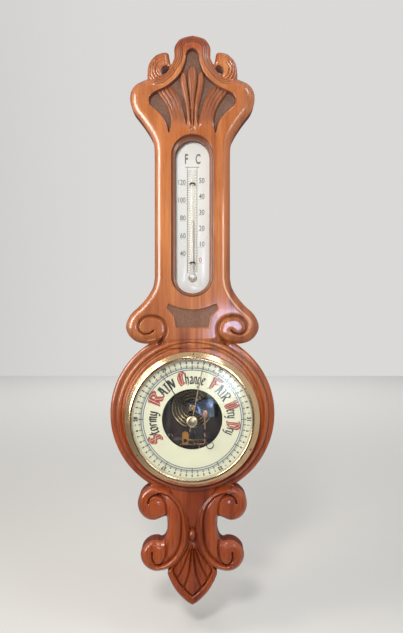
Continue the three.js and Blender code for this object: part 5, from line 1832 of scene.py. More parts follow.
@dataclass
class Dial:
    """Ivory dial with its printed scale and weather words."""

    opening: float = 39.5
    scale_rings: tuple[float, ...] = (64.4, 66.9)
    ring_width: float = 1.25
    inch_angle: float = 60
    top_inches: float = 29.5
    tick_inner: float = 67.6
    tick_outer: float = 70.9
    fine_outer: float = 69.6
    figure_radius: float = 73.6
    figure_size: float = 3.9
    inch_size: float = 6.2
    outer_rings: tuple[float, ...] = (76.9, 78.2)
    word_base: float = 46.4
    capital_height: float = 16.2
    pen_width: float = 0.2
    pen_edge: float = 0.085
    pen_angle: float = 38
    inline_share: float = 0.16
    initial_width: float = 1.2
    initial_weight: float = 1.7
    fine_ring: float = 0.3
    tick_widths: Pair = (1.15, 0.4)
    half_inch_reach: float = 3.4
    small_capitals: float = 0.8
    small_letters: float = 0.92
    inline_level: float = 0.075
    stroke_lift: float = 0.004
    words: tuple[Word, ...] = (
        Word("Stormy", -123, -78), Word("RAIN", -67, -25, True), Word("Change", -19, 19),
        Word("FAIR", 28, 62, True), Word("Very", 67, 89), Word("Dry", 94, 113),
    )
    plate: Span = field(default_factory=lambda: Span.of("dial_plate"))

    def build(self) -> None:
        """Make the plate and print on it."""
        span = self.plate
        outer = span.radius
        profile = [
            (self.opening + 0.2, span.back), (outer, span.back), (outer, span.front),
            (self.opening + 0.3, span.front), (self.opening, span.front - 0.3),
            (self.opening, span.back + 0.2), (self.opening + 0.2, span.back),
        ]
        piece = turned("ivory_dial", profile, 256, span.centre)
        dress(piece, IVORY, nodes=["dial_plate"])
        self.print_scale()
        self.print_words()

    def polar(self, radius: float, bearing: float) -> Pair:
        """Place on the dial at a bearing clockwise from the top, in degrees."""
        angle = math.radians(bearing)
        x, y = self.plate.centre
        return x + radius * math.sin(angle), y + radius * math.cos(angle)

    def print_scale(self) -> None:
        """Print the rings, ticks and numbers of inches."""
        blue = Print(self.plate.front)
        dark = Print(self.plate.front)
        for radius in self.scale_rings:
            blue.circle(self.plate.centre, radius, self.ring_width)
        for radius in self.outer_rings:
            dark.circle(self.plate.centre, radius, self.fine_ring)
        tenths = round(3600 / self.inch_angle)
        for i in range(5 * tenths):
            bearing = i * self.inch_angle / 50
            bold, half = i % 5 == 0, i % 25 == 0
            reach = self.tick_outer if bold else self.fine_outer
            start = self.polar(self.tick_inner - (self.half_inch_reach if half else 0), bearing)
            dark.bar(start, self.polar(reach, bearing), self.tick_widths[0 if bold else 1])
        for i in range(tenths):
            inches, tenth = divmod(round(10 * self.top_inches) + i - tenths // 2, 10)
            bearing = (i - tenths // 2) * self.inch_angle / 10
            size = self.figure_size if tenth else self.inch_size
            self.print_round(dark, str(tenth or inches), bearing, size)
        dress(blue.piece("dial_blue_rings"), BLUE_INK)
        dress(dark.piece("dial_scale"), BLACK_INK)

    def print_round(self, ink: Print, text: str, bearing: float, size: float) -> None:
        """Print a number that stands on the scale at a bearing."""
        points, faces = Sign(text, size, weight=0.3).mesh_points()
        place = self.polar(self.figure_radius, bearing)
        ink.add(turned_about(points, -bearing, place), faces)

    def print_words(self) -> None:
        """Write the weather words with a broad pen."""
        red = Print(self.plate.front)
        black = Print(self.plate.front)
        pale = Print(self.plate.front, self.inline_level)
        for word in self.words:
            advances = [LETTERS[letter][-1] for letter in word.text]
            small = self.small_capitals if word.capitals else self.small_letters
            scales = [1.0] + [small] * (len(word.text) - 1)
            total = sum(a * s for a, s in zip(advances, scales))
            per = (word.end - word.start) / total
            place = word.start
            for i, (letter, advance, scale) in enumerate(zip(word.text, advances, scales)):
                if i:
                    self.write(black, letter, place, per, scale, 1.0)
                else:
                    left, wide = place - 0.1 * advance * per, self.initial_width * per
                    self.write(red, letter, left, wide, scale, self.initial_weight)
                    self.write(pale, letter, left, wide, scale, self.inline_share, False)
                place += advance * scale * per
        dress(red.piece("dial_initials"), RED_INK)
        dress(black.piece("dial_words"), BLACK_INK)
        dress(pale.piece("dial_inlines"), IVORY)

    def write(
        self, ink: Print, letter: str, start: float, per: float, scale: float, weight: float,
        full: bool = True,
    ) -> None:
        """Write one letter round the dial.

        Args:
            ink: Print that receives the strokes.
            letter: Letter to write.
            start: Bearing of its left side.
            per: Degrees for a width of the capitals' height.
            scale: Size of the letter beside the initials.
            weight: Breadth of the pen beside the usual one.
            full: Whether the pen's thin edge marks the paper too.
        """
        lift = 0
        nibs = ((self.pen_angle, self.pen_width), (self.pen_angle - 90, self.pen_edge))
        for turn, breadth in nibs if full else nibs[:1]:
            angle = math.radians(turn)
            nib = breadth * weight / 2 * np.array([math.cos(angle), math.sin(angle)])
            for stroke in LETTERS[letter][:-1]:
                line = spline(stroke, 3) if len(stroke) > 2 else np.linspace(stroke[0], stroke[1], 4)
                sides = np.concatenate([line - nib, line + nib])
                bent = [
                    self.polar(self.word_base + y * scale * self.capital_height, start + x * scale * per)
                    for x, y in sides
                ]
                count = len(line)
                faces = [[i, i + 1, count + i + 1, count + i] for i in range(count - 1)]
                ink.add(bent, faces, self.stroke_lift * lift)
                lift += 1


@dataclass
class Bezel:
    """Brass bezel with its glass, ring and pins."""

    wall: float = 1.2
    slope: float = 7.9
    lip: float = 2.2
    foot: float = 3.0
    face_angle: float = 38
    glass_bevel: float = 5.0
    glass_hole: float = 1.9
    pin_hole: float = 1.2
    bezel: Span = field(default_factory=lambda: Span.of("bezel"))
    glass: Span = field(default_factory=lambda: Span.of("dial_glass"))
    ring: Span = field(default_factory=lambda: Span.of("glass_ring"))

    def build(self) -> None:
        """Make the bezel, glass, ring and pins."""
        self.make_bezel()
        self.make_glass()
        self.make_ring()
        for node in numbered("bezel_pin", 3):
            self.make_pin(node)

    def make_bezel(self) -> None:
        """Spun brass ring: a low foot, a sloping face and a rolled lip."""
        outer, back, top = self.bezel.radius, self.bezel.back, self.bezel.front
        inner = outer - self.slope
        lip = self.glass.radius - self.lip
        under = self.glass.front + 0.3
        foot = back + self.foot
        brim = top - self.slope * math.tan(math.radians(self.face_angle))
        rise_out = spline([
            (outer, brim - 1.2), (outer - 0.5, brim + 0.1), (outer - 3.2, brim + 2.5),
            (inner + 1.8, top - 1.2), (inner, top - 0.2), (inner - 1.0, top), (lip + 0.7, top - 0.1),
            (lip + 0.1, top - 0.6),
        ], 4)
        face = [
            (outer - 0.3, back), (outer, back + 0.3), *map(tuple, rise_out), (lip, under),
            (inner, under), (inner, self.ring.back - 0.3), (outer - self.wall, foot),
            (outer - self.wall, back), (outer - 0.3, back),
        ]
        piece = turned("brass_bezel", face, 256, self.bezel.centre)
        for node in numbered("bezel_pin", 3):
            drill(piece, Span.of(node).centre, self.pin_hole, back, top + 1)
        dress(piece, WARM_BRASS, nodes=["bezel"], crease=30)

    def make_glass(self) -> None:
        """Flat glass with a ground bevel and a hole for the set hand's spindle."""
        span = self.glass
        edge = span.depth / 2
        hole, outer = self.glass_hole, span.radius
        face = [
            (hole, span.back), (outer, span.back), (outer, span.back + edge),
            (outer - self.glass_bevel, span.front), (hole, span.front), (hole, span.back),
        ]
        piece = turned("bevelled_glass", face, 256, span.centre)
        dress(piece, CLEAR_GLASS, nodes=["dial_glass"], crease=4)

    def make_ring(self) -> None:
        """Sprung wire ring that holds the glass."""
        span = self.ring
        section = span.depth / 2
        middle = span.radius - section
        level = (span.back + span.front) / 2
        path = [(x, y, level) for x, y in arc_points(span.centre, middle, -86, 266, 180)]
        dress(swept("sprung_ring", path, section), BRASS, nodes=["glass_ring"])

    def make_pin(self, node: str) -> None:
        """Small round-headed pin."""
        span = Span.of(node)
        head, neck = span.radius, 0.9
        seat = span.front - 0.9
        face = [
            (0, span.back), (neck * 0.6, span.back + 0.5), (neck, span.back + 1.5), (neck, seat),
            (head, seat),
        ]
        face += [(head * math.cos(t), seat + 0.9 * math.sin(t)) for t in np.linspace(0.25, 1.4, 5)]
        face.append((0, span.front))
        piece = turned(node + "_turned", face, 32, span.centre)
        dress(piece, AGED_BRASS, nodes=[node])


@dataclass
class Hands:
    """Pressure hand, set hand, its collar and its knob."""

    pressure_length: float = 73.5
    pressure_tail: float = 46.0
    pressure_eye: float = 5.0
    pressure_bearing: float = 34.6
    set_length: float = 72.0
    set_tail: float = 16.0
    set_bearing: float = -11.4
    knob_radius: float = 7.0
    arbor_bore: float = 1.2
    spindle_bore: float = 1.9
    crescent_turn: float = 32.0

    def build(self) -> None:
        """Make the hands and the knob."""
        self.centre = Span.of("set_hand_collar").centre
        self.make_pressure_hand()
        self.make_set_hand()
        self.make_knob()

    def make_pressure_hand(self) -> None:
        """Blued hand with an open crescent near its tail."""
        span = Span.of("pressure_hand")
        top = span.back + 0.5
        eye_low = -self.pressure_tail + self.pressure_eye
        barb = 30.0
        half = [
            (0.5, eye_low + self.pressure_eye - 0.4), (0.45, -18), (0.6, -6), (0.7, 0), (0.5, barb - 3),
            (2.3, barb - 2.6), (0.6, barb + 3), (0.42, 62), (0.2, 71),
        ]
        blade = half + [(0, self.pressure_length)] + [(-x, y) for x, y in reversed(half)]
        piece = plate("blued_hand", turned_about(blade, self.pressure_bearing, self.centre), span.back, top)
        moon = np.concatenate([
            arc_points((0, eye_low), self.pressure_eye, 60, 390, 40),
            arc_points((0.15, eye_low + 0.15), self.pressure_eye - 0.9, 385, 65, 40),
        ])
        join(piece, plate(
            "crescent",
            turned_about(moon, self.pressure_bearing + self.crescent_turn, self.eye_centre(eye_low)),
            span.back, top))
        join(piece, plate("hub", ring_points(3, 64, self.centre), span.back, span.front))
        drill(piece, self.centre, self.arbor_bore, span.back - 1, span.front + 1, BORE_SIDES)
        soften(piece, 0.1)
        dress(piece, BLUED_STEEL, Body.PRESSURE_HAND, ["pressure_hand"])

    def eye_centre(self, eye_low: float) -> Pair:
        """Where the crescent's own centre goes, so that it turns about itself."""
        place = turned_about([(0, eye_low)], self.pressure_bearing, self.centre)[0]
        back = turned_about([(0, eye_low)], self.pressure_bearing + self.crescent_turn, (0, 0))[0]
        return tuple(place - back)

    def make_set_hand(self) -> None:
        """Slim brass hand with a spade tail."""
        span = Span.of("set_hand")
        half = [(0.55, -self.set_tail), (0.5, -8), (0.55, 0), (0.5, 58), (0.3, 68)]
        blade = half + [(0, self.set_length)] + [(-x, y) for x, y in reversed(half)]
        outline = turned_about(blade, self.set_bearing, self.centre)
        piece = plate("brass_set_hand", outline, span.back, span.front)
        join(piece, plate("hub", ring_points(4, 64, self.centre), span.back, span.front))
        drill(piece, self.centre, self.spindle_bore, span.back - 1, span.front + 1, BORE_SIDES)
        soften(piece, 0.12)
        dress(piece, DULL_BRASS, Body.SET_HAND, ["set_hand"])
        collar = Span.of("set_hand_collar")
        outer, bore = collar.radius, self.spindle_bore
        face = [
            (bore, collar.back), (outer - 0.15, collar.back), (outer, collar.back + 0.15),
            (outer, collar.front - 0.15), (outer - 0.15, collar.front), (bore, collar.front),
            (bore, collar.back),
        ]
        piece = turned("set_collar", face, 64, self.centre)
        dress(piece, BRASS, Body.SET_HAND, ["set_hand_collar"])

    def make_knob(self) -> None:
        """Turned brass knob on its spindle."""
        span = Span.of("set_hand_knob")
        foot = Span.of("dial_glass").front + 0.3
        height = span.front - foot
        outline = spline([
            (5.2, 0), (5.25, 0.8), (4.4, 1.6), (3.3, 2.6), (3.05, 4.2), (3.6, 5.4), (5.6, 6.4),
            (6.8, 7.6), (7.0, 9.0), (6.6, 10.4), (5.2, 11.4), (3.0, 11.9),
        ], 4) * (self.knob_radius / 7, height / 12)
        face = [(0, span.back), (1.6, span.back), (1.6, foot)]
        face += [(radius, foot + up) for radius, up in outline]
        face.append((0, span.front))
        piece = turned("set_knob", face, 96, self.centre)
        dress(piece, PALE_BRASS, Body.SET_HAND, ["set_hand_knob"])


@dataclass
class Movement:
    """The aneroid movement behind the dial's open middle."""

    screw_head: float = 2.4
    screw_shank: float = 1.1
    screw_hole: float = 1.4
    can_radius: float = 72.0
    can_wall: float = 0.8
    access_hole: float = 3.4
    adjuster_hole: float = 2.9
    capsule_ribs: int = 5
    rib_height: float = 0.8
    rib_shares: Pair = (0.93, 0.72)
    post_bore: float = 2.1
    spring_thickness: float = 2.0
    arbor_bore: float = 1.2
    chain_links: int = 24
    chain_wire: float = 0.14
    chain_half_width: float = 0.27
    hairspring_turns: int = 4
    hairspring_wire: float = 0.16
    bridge_boss: float = 6.9
    bridge_thickness: float = 1.2
    pillar_ends: Pair = (4.0, 3.2)
    pillar_foot_hole: float = 2.2

    def build(self) -> None:
        """Make each piece of the movement."""
        self.x, self.y = Span.of("movement_can").centre
        self.make_can()
        self.make_base()
        self.make_capsule()
        self.make_spring()
        self.make_lever()
        self.make_shaft()
        self.make_chain()
        self.make_arbor()
        self.make_bridge()
        self.make_screws()

    def make_can(self) -> None:
        """Spun brass can with a flange, and the hole for the adjusting screw."""
        span = Span.of("movement_can")
        adjust = Span.of("adjusting_screw")
        wall, radius, outer = self.can_wall, self.can_radius, span.radius
        flange = Span.of("bezel").back
        face = [
            (0, span.back), (radius - 1.2, span.back), (radius - 0.3, span.back + 0.4),
            (radius, span.back + 1.2), (radius, flange), (outer - 0.2, flange), (outer, flange + 0.2),
            (outer, flange + wall), (radius, flange + wall), (radius, span.front),
            (radius - wall, span.front), (radius - wall, span.back + wall), (0, span.back + wall),
        ]
        piece = turned("spun_can", face, 192, (self.x, self.y))
        drill(piece, adjust.centre, self.access_hole, span.back - 1, span.back + 2, 40)
        for node in numbered("base_screw", 3):
            drill(piece, Span.of(node).centre, self.screw_hole, span.back - 1, span.back + 2)
        dress(piece, AGED_BRASS, nodes=["movement_can"])

    def make_base(self) -> None:
        """Dark lacquered base plate."""
        span = Span.of("movement_base")
        piece = plate("base_disc", ring_points(span.radius, 128, span.centre), span.back, span.front)
        for node in self.screws_in_base():
            drill(piece, Span.of(node).centre, self.screw_hole, span.back - 1, span.front + 1)
        adjust = Span.of("adjusting_screw").centre
        drill(piece, adjust, self.adjuster_hole, span.back - 1, span.front + 1, BORE_SIDES)
        soften(piece, 0.2)
        dress(piece, DARK_PLATE, nodes=["movement_base"])

    def screws_in_base(self) -> list[str]:
        """Names of the solids that stand in the base plate."""
        pairs = numbered("bracket_screw", 2) + numbered("spring_screw", 2) + numbered("bridge_pillar", 2)
        return pairs + numbered("base_screw", 3)

    def make_capsule(self) -> None:
        """Corrugated vacuum capsule, its post and the post's collar."""
        span = Span.of("vacuum_capsule")
        radius = span.radius
        back, front = span.back + 1.7, span.front - 0.8
        count, sides = 160, 128
        (first_share, all_shares), high = self.rib_shares, self.rib_height
        waves, heights = [], []
        for i in range(count + 1):
            height = (0.5 + 0.5 * math.cos(2 * math.pi * self.capsule_ribs * i / count)) ** 3
            waves.append((radius * (first_share - all_shares * i / count), front - high + high * height))
            heights.append(height)
        face = [
            (0, span.back), (4.6, span.back), (5.0, span.back + 0.4), (5.0, back), (radius - 1.2, back),
            (radius - 0.2, back + 0.5), (radius, back + 1.2), (radius, front - 1.2),
            (radius - 0.3, front - 0.5), (radius - 1.0, front - 0.1), *waves,
            (5.2, front), (5.0, front + 0.3), (4.8, span.front), (0, span.front),
        ]
        piece = turned("corrugated_capsule", face, sides, span.centre)
        # Painted highlight on the ribs, strongest low down and fading toward the top, where it is in
        # painted shade; the axis has one point, each ring all sides
        first = 1 + (face.index(waves[0]) - 1) * sides
        angles = np.linspace(0, 2 * math.pi, sides, endpoint=False)
        glint_share = np.clip(0.5 - 0.9 * np.sin(angles), 0.1, 1)
        bright = np.zeros(len(piece.data.vertices))
        bright[first:first + len(waves) * sides] = np.outer(heights, glint_share).ravel()
        store(piece, "rib", bright)
        dress(piece, CAPSULE_BRASS, nodes=["vacuum_capsule"], crease=50)
        post = Span.of("capsule_post")
        foot = post.back + 1.4
        face = [
            (0, post.back), (3.8, post.back), (4.0, post.back + 0.2), (4.0, foot - 0.2), (3.8, foot),
            (1.8, foot), (1.8, post.front - 0.3), (1.5, post.front), (0, post.front),
        ]
        dress(turned("capsule_pin", face, 48, post.centre), BRASS, nodes=["capsule_post"])
        collar = Span.of("post_collar")
        bore, outer = self.post_bore, collar.radius
        face = [
            (bore, collar.back), (outer - 0.2, collar.back), (outer, collar.back + 0.2),
            (outer * 0.98, collar.front - 2.2), (outer * 0.86, collar.front - 1.0),
            (outer * 0.66, collar.front - 0.1), (outer * 0.6, collar.front),
            (bore + 0.5, collar.front - 0.5), (bore, collar.front - 1.2), (bore, collar.back),
        ]
        dress(turned("pin_collar", face, 64, collar.centre), BRASS, nodes=["post_collar"])

    def make_spring(self) -> None:
        """Broad polished C-spring that arches over the capsule."""
        span = Span.of("c_spring")
        middle = Span.of("vacuum_capsule").centre[1]
        outer = span.depth / 2
        bend_x = span.right - outer
        level = span.back + outer
        thick = self.spring_thickness
        left_low, left_high = span.left, self.x - 6
        side = [(left_low, span.back), *arc_points((bend_x, level), outer, -90, 90, 32)]
        side += [(left_high, span.front), (left_high, span.front - thick)]
        side += [*arc_points((bend_x, level), outer - thick, 90, -90, 32), (left_low, span.back + thick)]
        half = (span.high - span.low) / 2
        count = len(side)
        points = [(x, middle - half, out) for x, out in side] + [(x, middle + half, out) for x, out in side]
        faces = [list(range(count)), list(range(count, 2 * count))]
        faces += [[i, (i + 1) % count, count + (i + 1) % count, count + i] for i in range(count)]
        piece = solid("polished_c_spring", points, faces)
        outward(piece)
        over = 2.0
        upper = spline([
            (span.left - over, 6.0), (self.x + 6, 7.0), (bend_x - 6, half + over),
            (span.right + over, half + over),
        ], 8)
        plan = np.concatenate([upper, (upper * (1, -1))[::-1]]) + (0, middle)
        combine(piece, plate("plan", plan, span.back - 1, span.front + 1), "INTERSECT")
        drill(piece, (self.x, middle), self.post_bore, span.front - 4, span.front + 2, 40)
        for node in numbered("spring_screw", 2):
            drill(piece, Span.of(node).centre, self.screw_hole, span.back - 1, span.back + 4)
        lever = Span.of("lever_screw").centre
        drill(piece, lever, self.screw_hole, span.front - 4, span.front + 2)
        soften(piece, 0.25)
        dress(piece, DARK_STEEL, nodes=["c_spring"])

    def make_lever(self) -> None:
        """Copper-coloured lever with a flat foot, and its link."""
        span = Span.of("main_lever")
        x = span.centre[0]
        foot_low = span.high - 11
        screw = Span.of("lever_screw")
        foot_top = screw.front - 1.6
        piece = block("lever", span.left, span.right, foot_low + 4, span.high, span.back, foot_top)
        neck = [
            (x - 1.2, foot_low), (x + 1.2, foot_low), (span.right, foot_low + 4.5),
            (span.left, foot_low + 4.5),
        ]
        join(piece, plate("neck", neck, span.back, foot_top))
        soften(piece, 0.5, 3)
        radius = 1.1
        axis = span.front - radius
        arm = turned("arm", [
            (0, span.low), (0.8, span.low), (radius, span.low + 0.4), (radius, foot_low + 3),
            (0, foot_low + 3),
        ], 24, (x, 0), Axis.UP, axis)
        join(piece, arm)
        drill(piece, screw.centre, self.screw_hole, span.back - 1, foot_top + 1)
        dress(piece, COPPER, Body.MAIN_LEVER, ["main_lever"])
        link = Span.of("link_rod")
        face = [
            (0, link.back), (0.45, link.back), (0.6, link.back + 0.3), (0.6, link.front - 0.3),
            (0.45, link.front), (0, link.front),
        ]
        dress(turned("link", face, 20, link.centre), STEEL, Body.LINK_ROD, ["link_rod"])

    def make_shaft(self) -> None:
        """Rocking shaft with its two arms, and the bracket that carries it."""
        span = Span.of("rocking_shaft")
        bracket = Span.of("shaft_bracket")
        lever_x = Span.of("link_rod").centre[0]
        y = bracket.centre[1]
        level = bracket.front - 3
        radius = 1.5
        face = [
            (0, span.left), (radius - 0.3, span.left), (radius, span.left + 0.4),
            (radius, span.right - 0.4), (radius - 0.3, span.right), (0, span.right),
        ]
        piece = turned("shaft", face, 32, (0, y), Axis.ACROSS, level)
        arm = 0.7
        join(piece, block(
            "short_arm", lever_x - arm, lever_x + arm, y, span.high, level - arm, level + arm))
        long_x = self.x + 9
        join(piece, block("long_arm", long_x - arm, long_x + arm, y - arm, y + arm, level, span.front))
        soften(piece, 0.15)
        dress(piece, COPPER, Body.ROCKING_SHAFT, ["rocking_shaft"])
        wall = 1.5
        left, right, back = bracket.left, bracket.right, bracket.back
        box = (bracket.low, bracket.high, back)
        holder = block("bracket", left, right, *box, back + wall)
        for near, far in ((left, left + wall), (right - wall, right)):
            join(holder, block("ear", near, far, *box, bracket.front))
        wide = radius + 0.3
        cut(holder, turned("bore", [
            (0, span.left - 3), (wide, span.left - 3), (wide, span.right + 3), (0, span.right + 3),
        ], BORE_SIDES, (0, y), Axis.ACROSS, level))
        for node in numbered("bracket_screw", 2):
            drill(holder, Span.of(node).centre, self.screw_hole, back - 1, back + 3)
        soften(holder, 0.25)
        dress(holder, AGED_BRASS, nodes=["shaft_bracket"])

    def make_chain(self) -> None:
        """Fine chain: flat links that stand alternately up and across."""
        span = Span.of("drive_chain")
        start = np.array([span.right - 0.43, span.low + 0.13])
        end = np.array([span.left + 0.43, span.high - 0.13])
        level = (span.back + span.front) / 2
        length = np.linalg.norm(end - start)
        count = self.chain_links
        pitch = length / count
        along = (end - start) / length
        side = np.array([-along[1], along[0]])
        wire, half_width = self.chain_wire, self.chain_half_width
        points, faces = [], []
        for i in range(count):
            middle = start + along * pitch * (i + 0.5)
            loop = oblong(half_width, pitch * 0.66, -pitch * 0.66, 5)
            path = []
            for across, up in loop:
                spot = middle + along * up
                if i % 2:
                    path.append((*spot, level + across))
                else:
                    path.append((*(spot + side * across), level))
            link = swept("link", path, wire, 6, True)
            base = len(points)
            points += [(v.co.x / MM, v.co.z / MM, -v.co.y / MM) for v in link.data.vertices]
            faces += [[base + v for v in face.vertices] for face in link.data.polygons]
            bpy.data.objects.remove(link)
        piece = solid("fine_chain", points, faces)
        dress(piece, DARK_STEEL, Body.DRIVE_CHAIN, ["drive_chain"])

    def make_arbor(self) -> None:
        """Centre arbor with its chain drum, and the hairspring behind it."""
        span = Span.of("centre_arbor")
        spring = Span.of("hairspring")
        chain = Span.of("drive_chain")
        drum_back = (chain.back + chain.front) / 2 - 1
        body = 0.9
        middle = (spring.back + spring.front) / 2
        face = [
            (0, span.back), (0.5, span.back), (body, span.back + 0.5), (body, middle - 0.8),
            (body + 0.001, middle - 0.8), (body + 0.001, middle + 0.8), (body, middle + 0.8),
            (body, drum_back - 0.35), (1.95, drum_back - 0.35), (1.95, drum_back), (1.5, drum_back),
            (1.5, drum_back + 2), (body, drum_back + 2), (body, span.front - 0.3),
            (body - 0.3, span.front), (0, span.front),
        ]
        piece = turned("arbor", face, 48, (self.x, self.y))
        dress(piece, STEEL, Body.PRESSURE_HAND, ["centre_arbor"])
        inner, pitch, steps, wire = 1.6, 0.9, 48, self.hairspring_wire
        line = []
        for i in range(self.hairspring_turns * steps + 1):
            angle = math.pi + 2 * math.pi * i / steps
            line.append((inner + pitch * i / steps, angle))
        outer = [(self.x + (r + wire) * math.cos(a), self.y + (r + wire) * math.sin(a)) for r, a in line]
        inside = [(self.x + (r - wire) * math.cos(a), self.y + (r - wire) * math.sin(a)) for r, a in line]
        piece = plate("fine_hairspring", outer + inside[::-1], spring.back, spring.front)
        dress(piece, BLUED_STEEL, nodes=["hairspring"])

    def make_bridge(self) -> None:
        """Arbor bridge with a cock behind it, on two pillars."""
        span = Span.of("arbor_bridge")
        centre = np.array([self.x, self.y])
        thick, boss = self.bridge_thickness, self.bridge_boss
        back = span.front - thick
        piece = plate("bridge", ring_points(boss, 96, centre), back, span.front)
        for node, reach in zip(numbered("bridge_pillar", 2), self.pillar_ends):
            spot = np.array(Span.of(node).centre)
            along = (spot - centre) / np.linalg.norm(spot - centre)
            side = np.array([-along[1], along[0]]) * 1.8
            arm = [centre - side, spot - side, spot + side, centre + side]
            join(piece, plate("arm", arm, back, span.front))
            join(piece, plate("end", ring_points(reach, 64, spot), back, span.front))
        left = self.x - boss
        join(piece, block("riser", left, left + thick, self.y - 2, self.y + 2, span.back, back + 0.3))
        join(piece, block("cock", left, self.x + 2, self.y - 2, self.y + 2, span.back, span.back + thick))
        drill(piece, centre, self.arbor_bore, span.back - 1, span.front + 1, BORE_SIDES)
        for node in numbered("bridge_screw", 2):
            drill(piece, Span.of(node).centre, self.screw_hole, back - 1, span.front + 1)
        soften(piece, 0.2)
        dress(piece, SHADOWED_STEEL, nodes=["arbor_bridge"])
        foot = Span.of("bridge_pillar_1").centre
        pad = oblong(4.3, foot[1] + 12, foot[1] - 4.2) + (foot[0], 0)
        pad = plate("bronze_pad", pad, span.front + 0.1, span.front + 0.5)
        drill(pad, foot, self.pillar_foot_hole, span.front - 1, span.front + 2)
        dress(pad, BRONZE)
        base = Span.of("movement_base").front + 0.3
        for i, node in enumerate(numbered("bridge_pillar", 2), 1):
            pillar = Span.of(node)
            face = [
                (0, pillar.back), (1.1, pillar.back), (1.1, base), (2.4, base), (2.4, base + 1.5),
                (1.9, base + 2.2), (1.9, pillar.front - 2.2), (2.4, pillar.front - 1.5),
                (2.4, pillar.front - 0.2), (2.2, pillar.front), (1.4, pillar.front),
                (1.4, pillar.front - 4), (0, pillar.front - 4),
            ]
            dress(turned(f"pillar_{i}", face, 48, pillar.centre), BRASS, nodes=[node])

    def make_screws(self) -> None:
        """Slotted machine screws, and the adjusting screw at the back."""
        steel = numbered("spring_screw", 2) + numbered("bracket_screw", 2)
        steel += numbered("bridge_screw", 2) + numbered("base_screw", 3)
        for turn, node in enumerate(steel):
            self.machine_screw(node, BLUED_STEEL, Body.CASE, 37 * turn)
        self.machine_screw("lever_screw", COPPER, Body.MAIN_LEVER, 20)
        span = Span.of("adjusting_screw")
        radius = span.radius
        face = [
            (0, span.back), (radius - 0.2, span.back), (radius, span.back + 0.2),
            (radius, span.front - 0.4), (radius - 0.4, span.front), (0, span.front),
        ]
        piece = turned("adjuster", face, 48, span.centre)
        x, y = span.centre
        cut(piece, block("slot", x - 5, x + 5, y - 0.3, y + 0.3, span.back - 1, span.back + 0.6))
        dress(piece, AGED_BRASS, Body.ADJUSTING_SCREW, ["adjusting_screw"])

    def machine_screw(self, node: str, finish: Finish, body: Body, turn: float) -> None:
        """A cheese-headed screw with its slot turned by some degrees."""
        span = Span.of(node)
        head, shank = self.screw_head, self.screw_shank
        under = span.front - 1.3
        face = [
            (0, span.back), (shank - 0.3, span.back), (shank, span.back + 0.3), (shank, under),
            (head, under), (head, under + 0.7), (head * 0.93, under + 1.05), (head * 0.8, span.front),
            (0, span.front),
        ]
        piece = turned(node + "_turned", face, 40, span.centre)
        bar = turned_about([(-4, -0.3), (4, -0.3), (4, 0.3), (-4, 0.3)], turn, span.centre)
        cut(piece, plate("slot", bar, under + 0.65, span.front + 1))
        dress(piece, finish, body, [node])


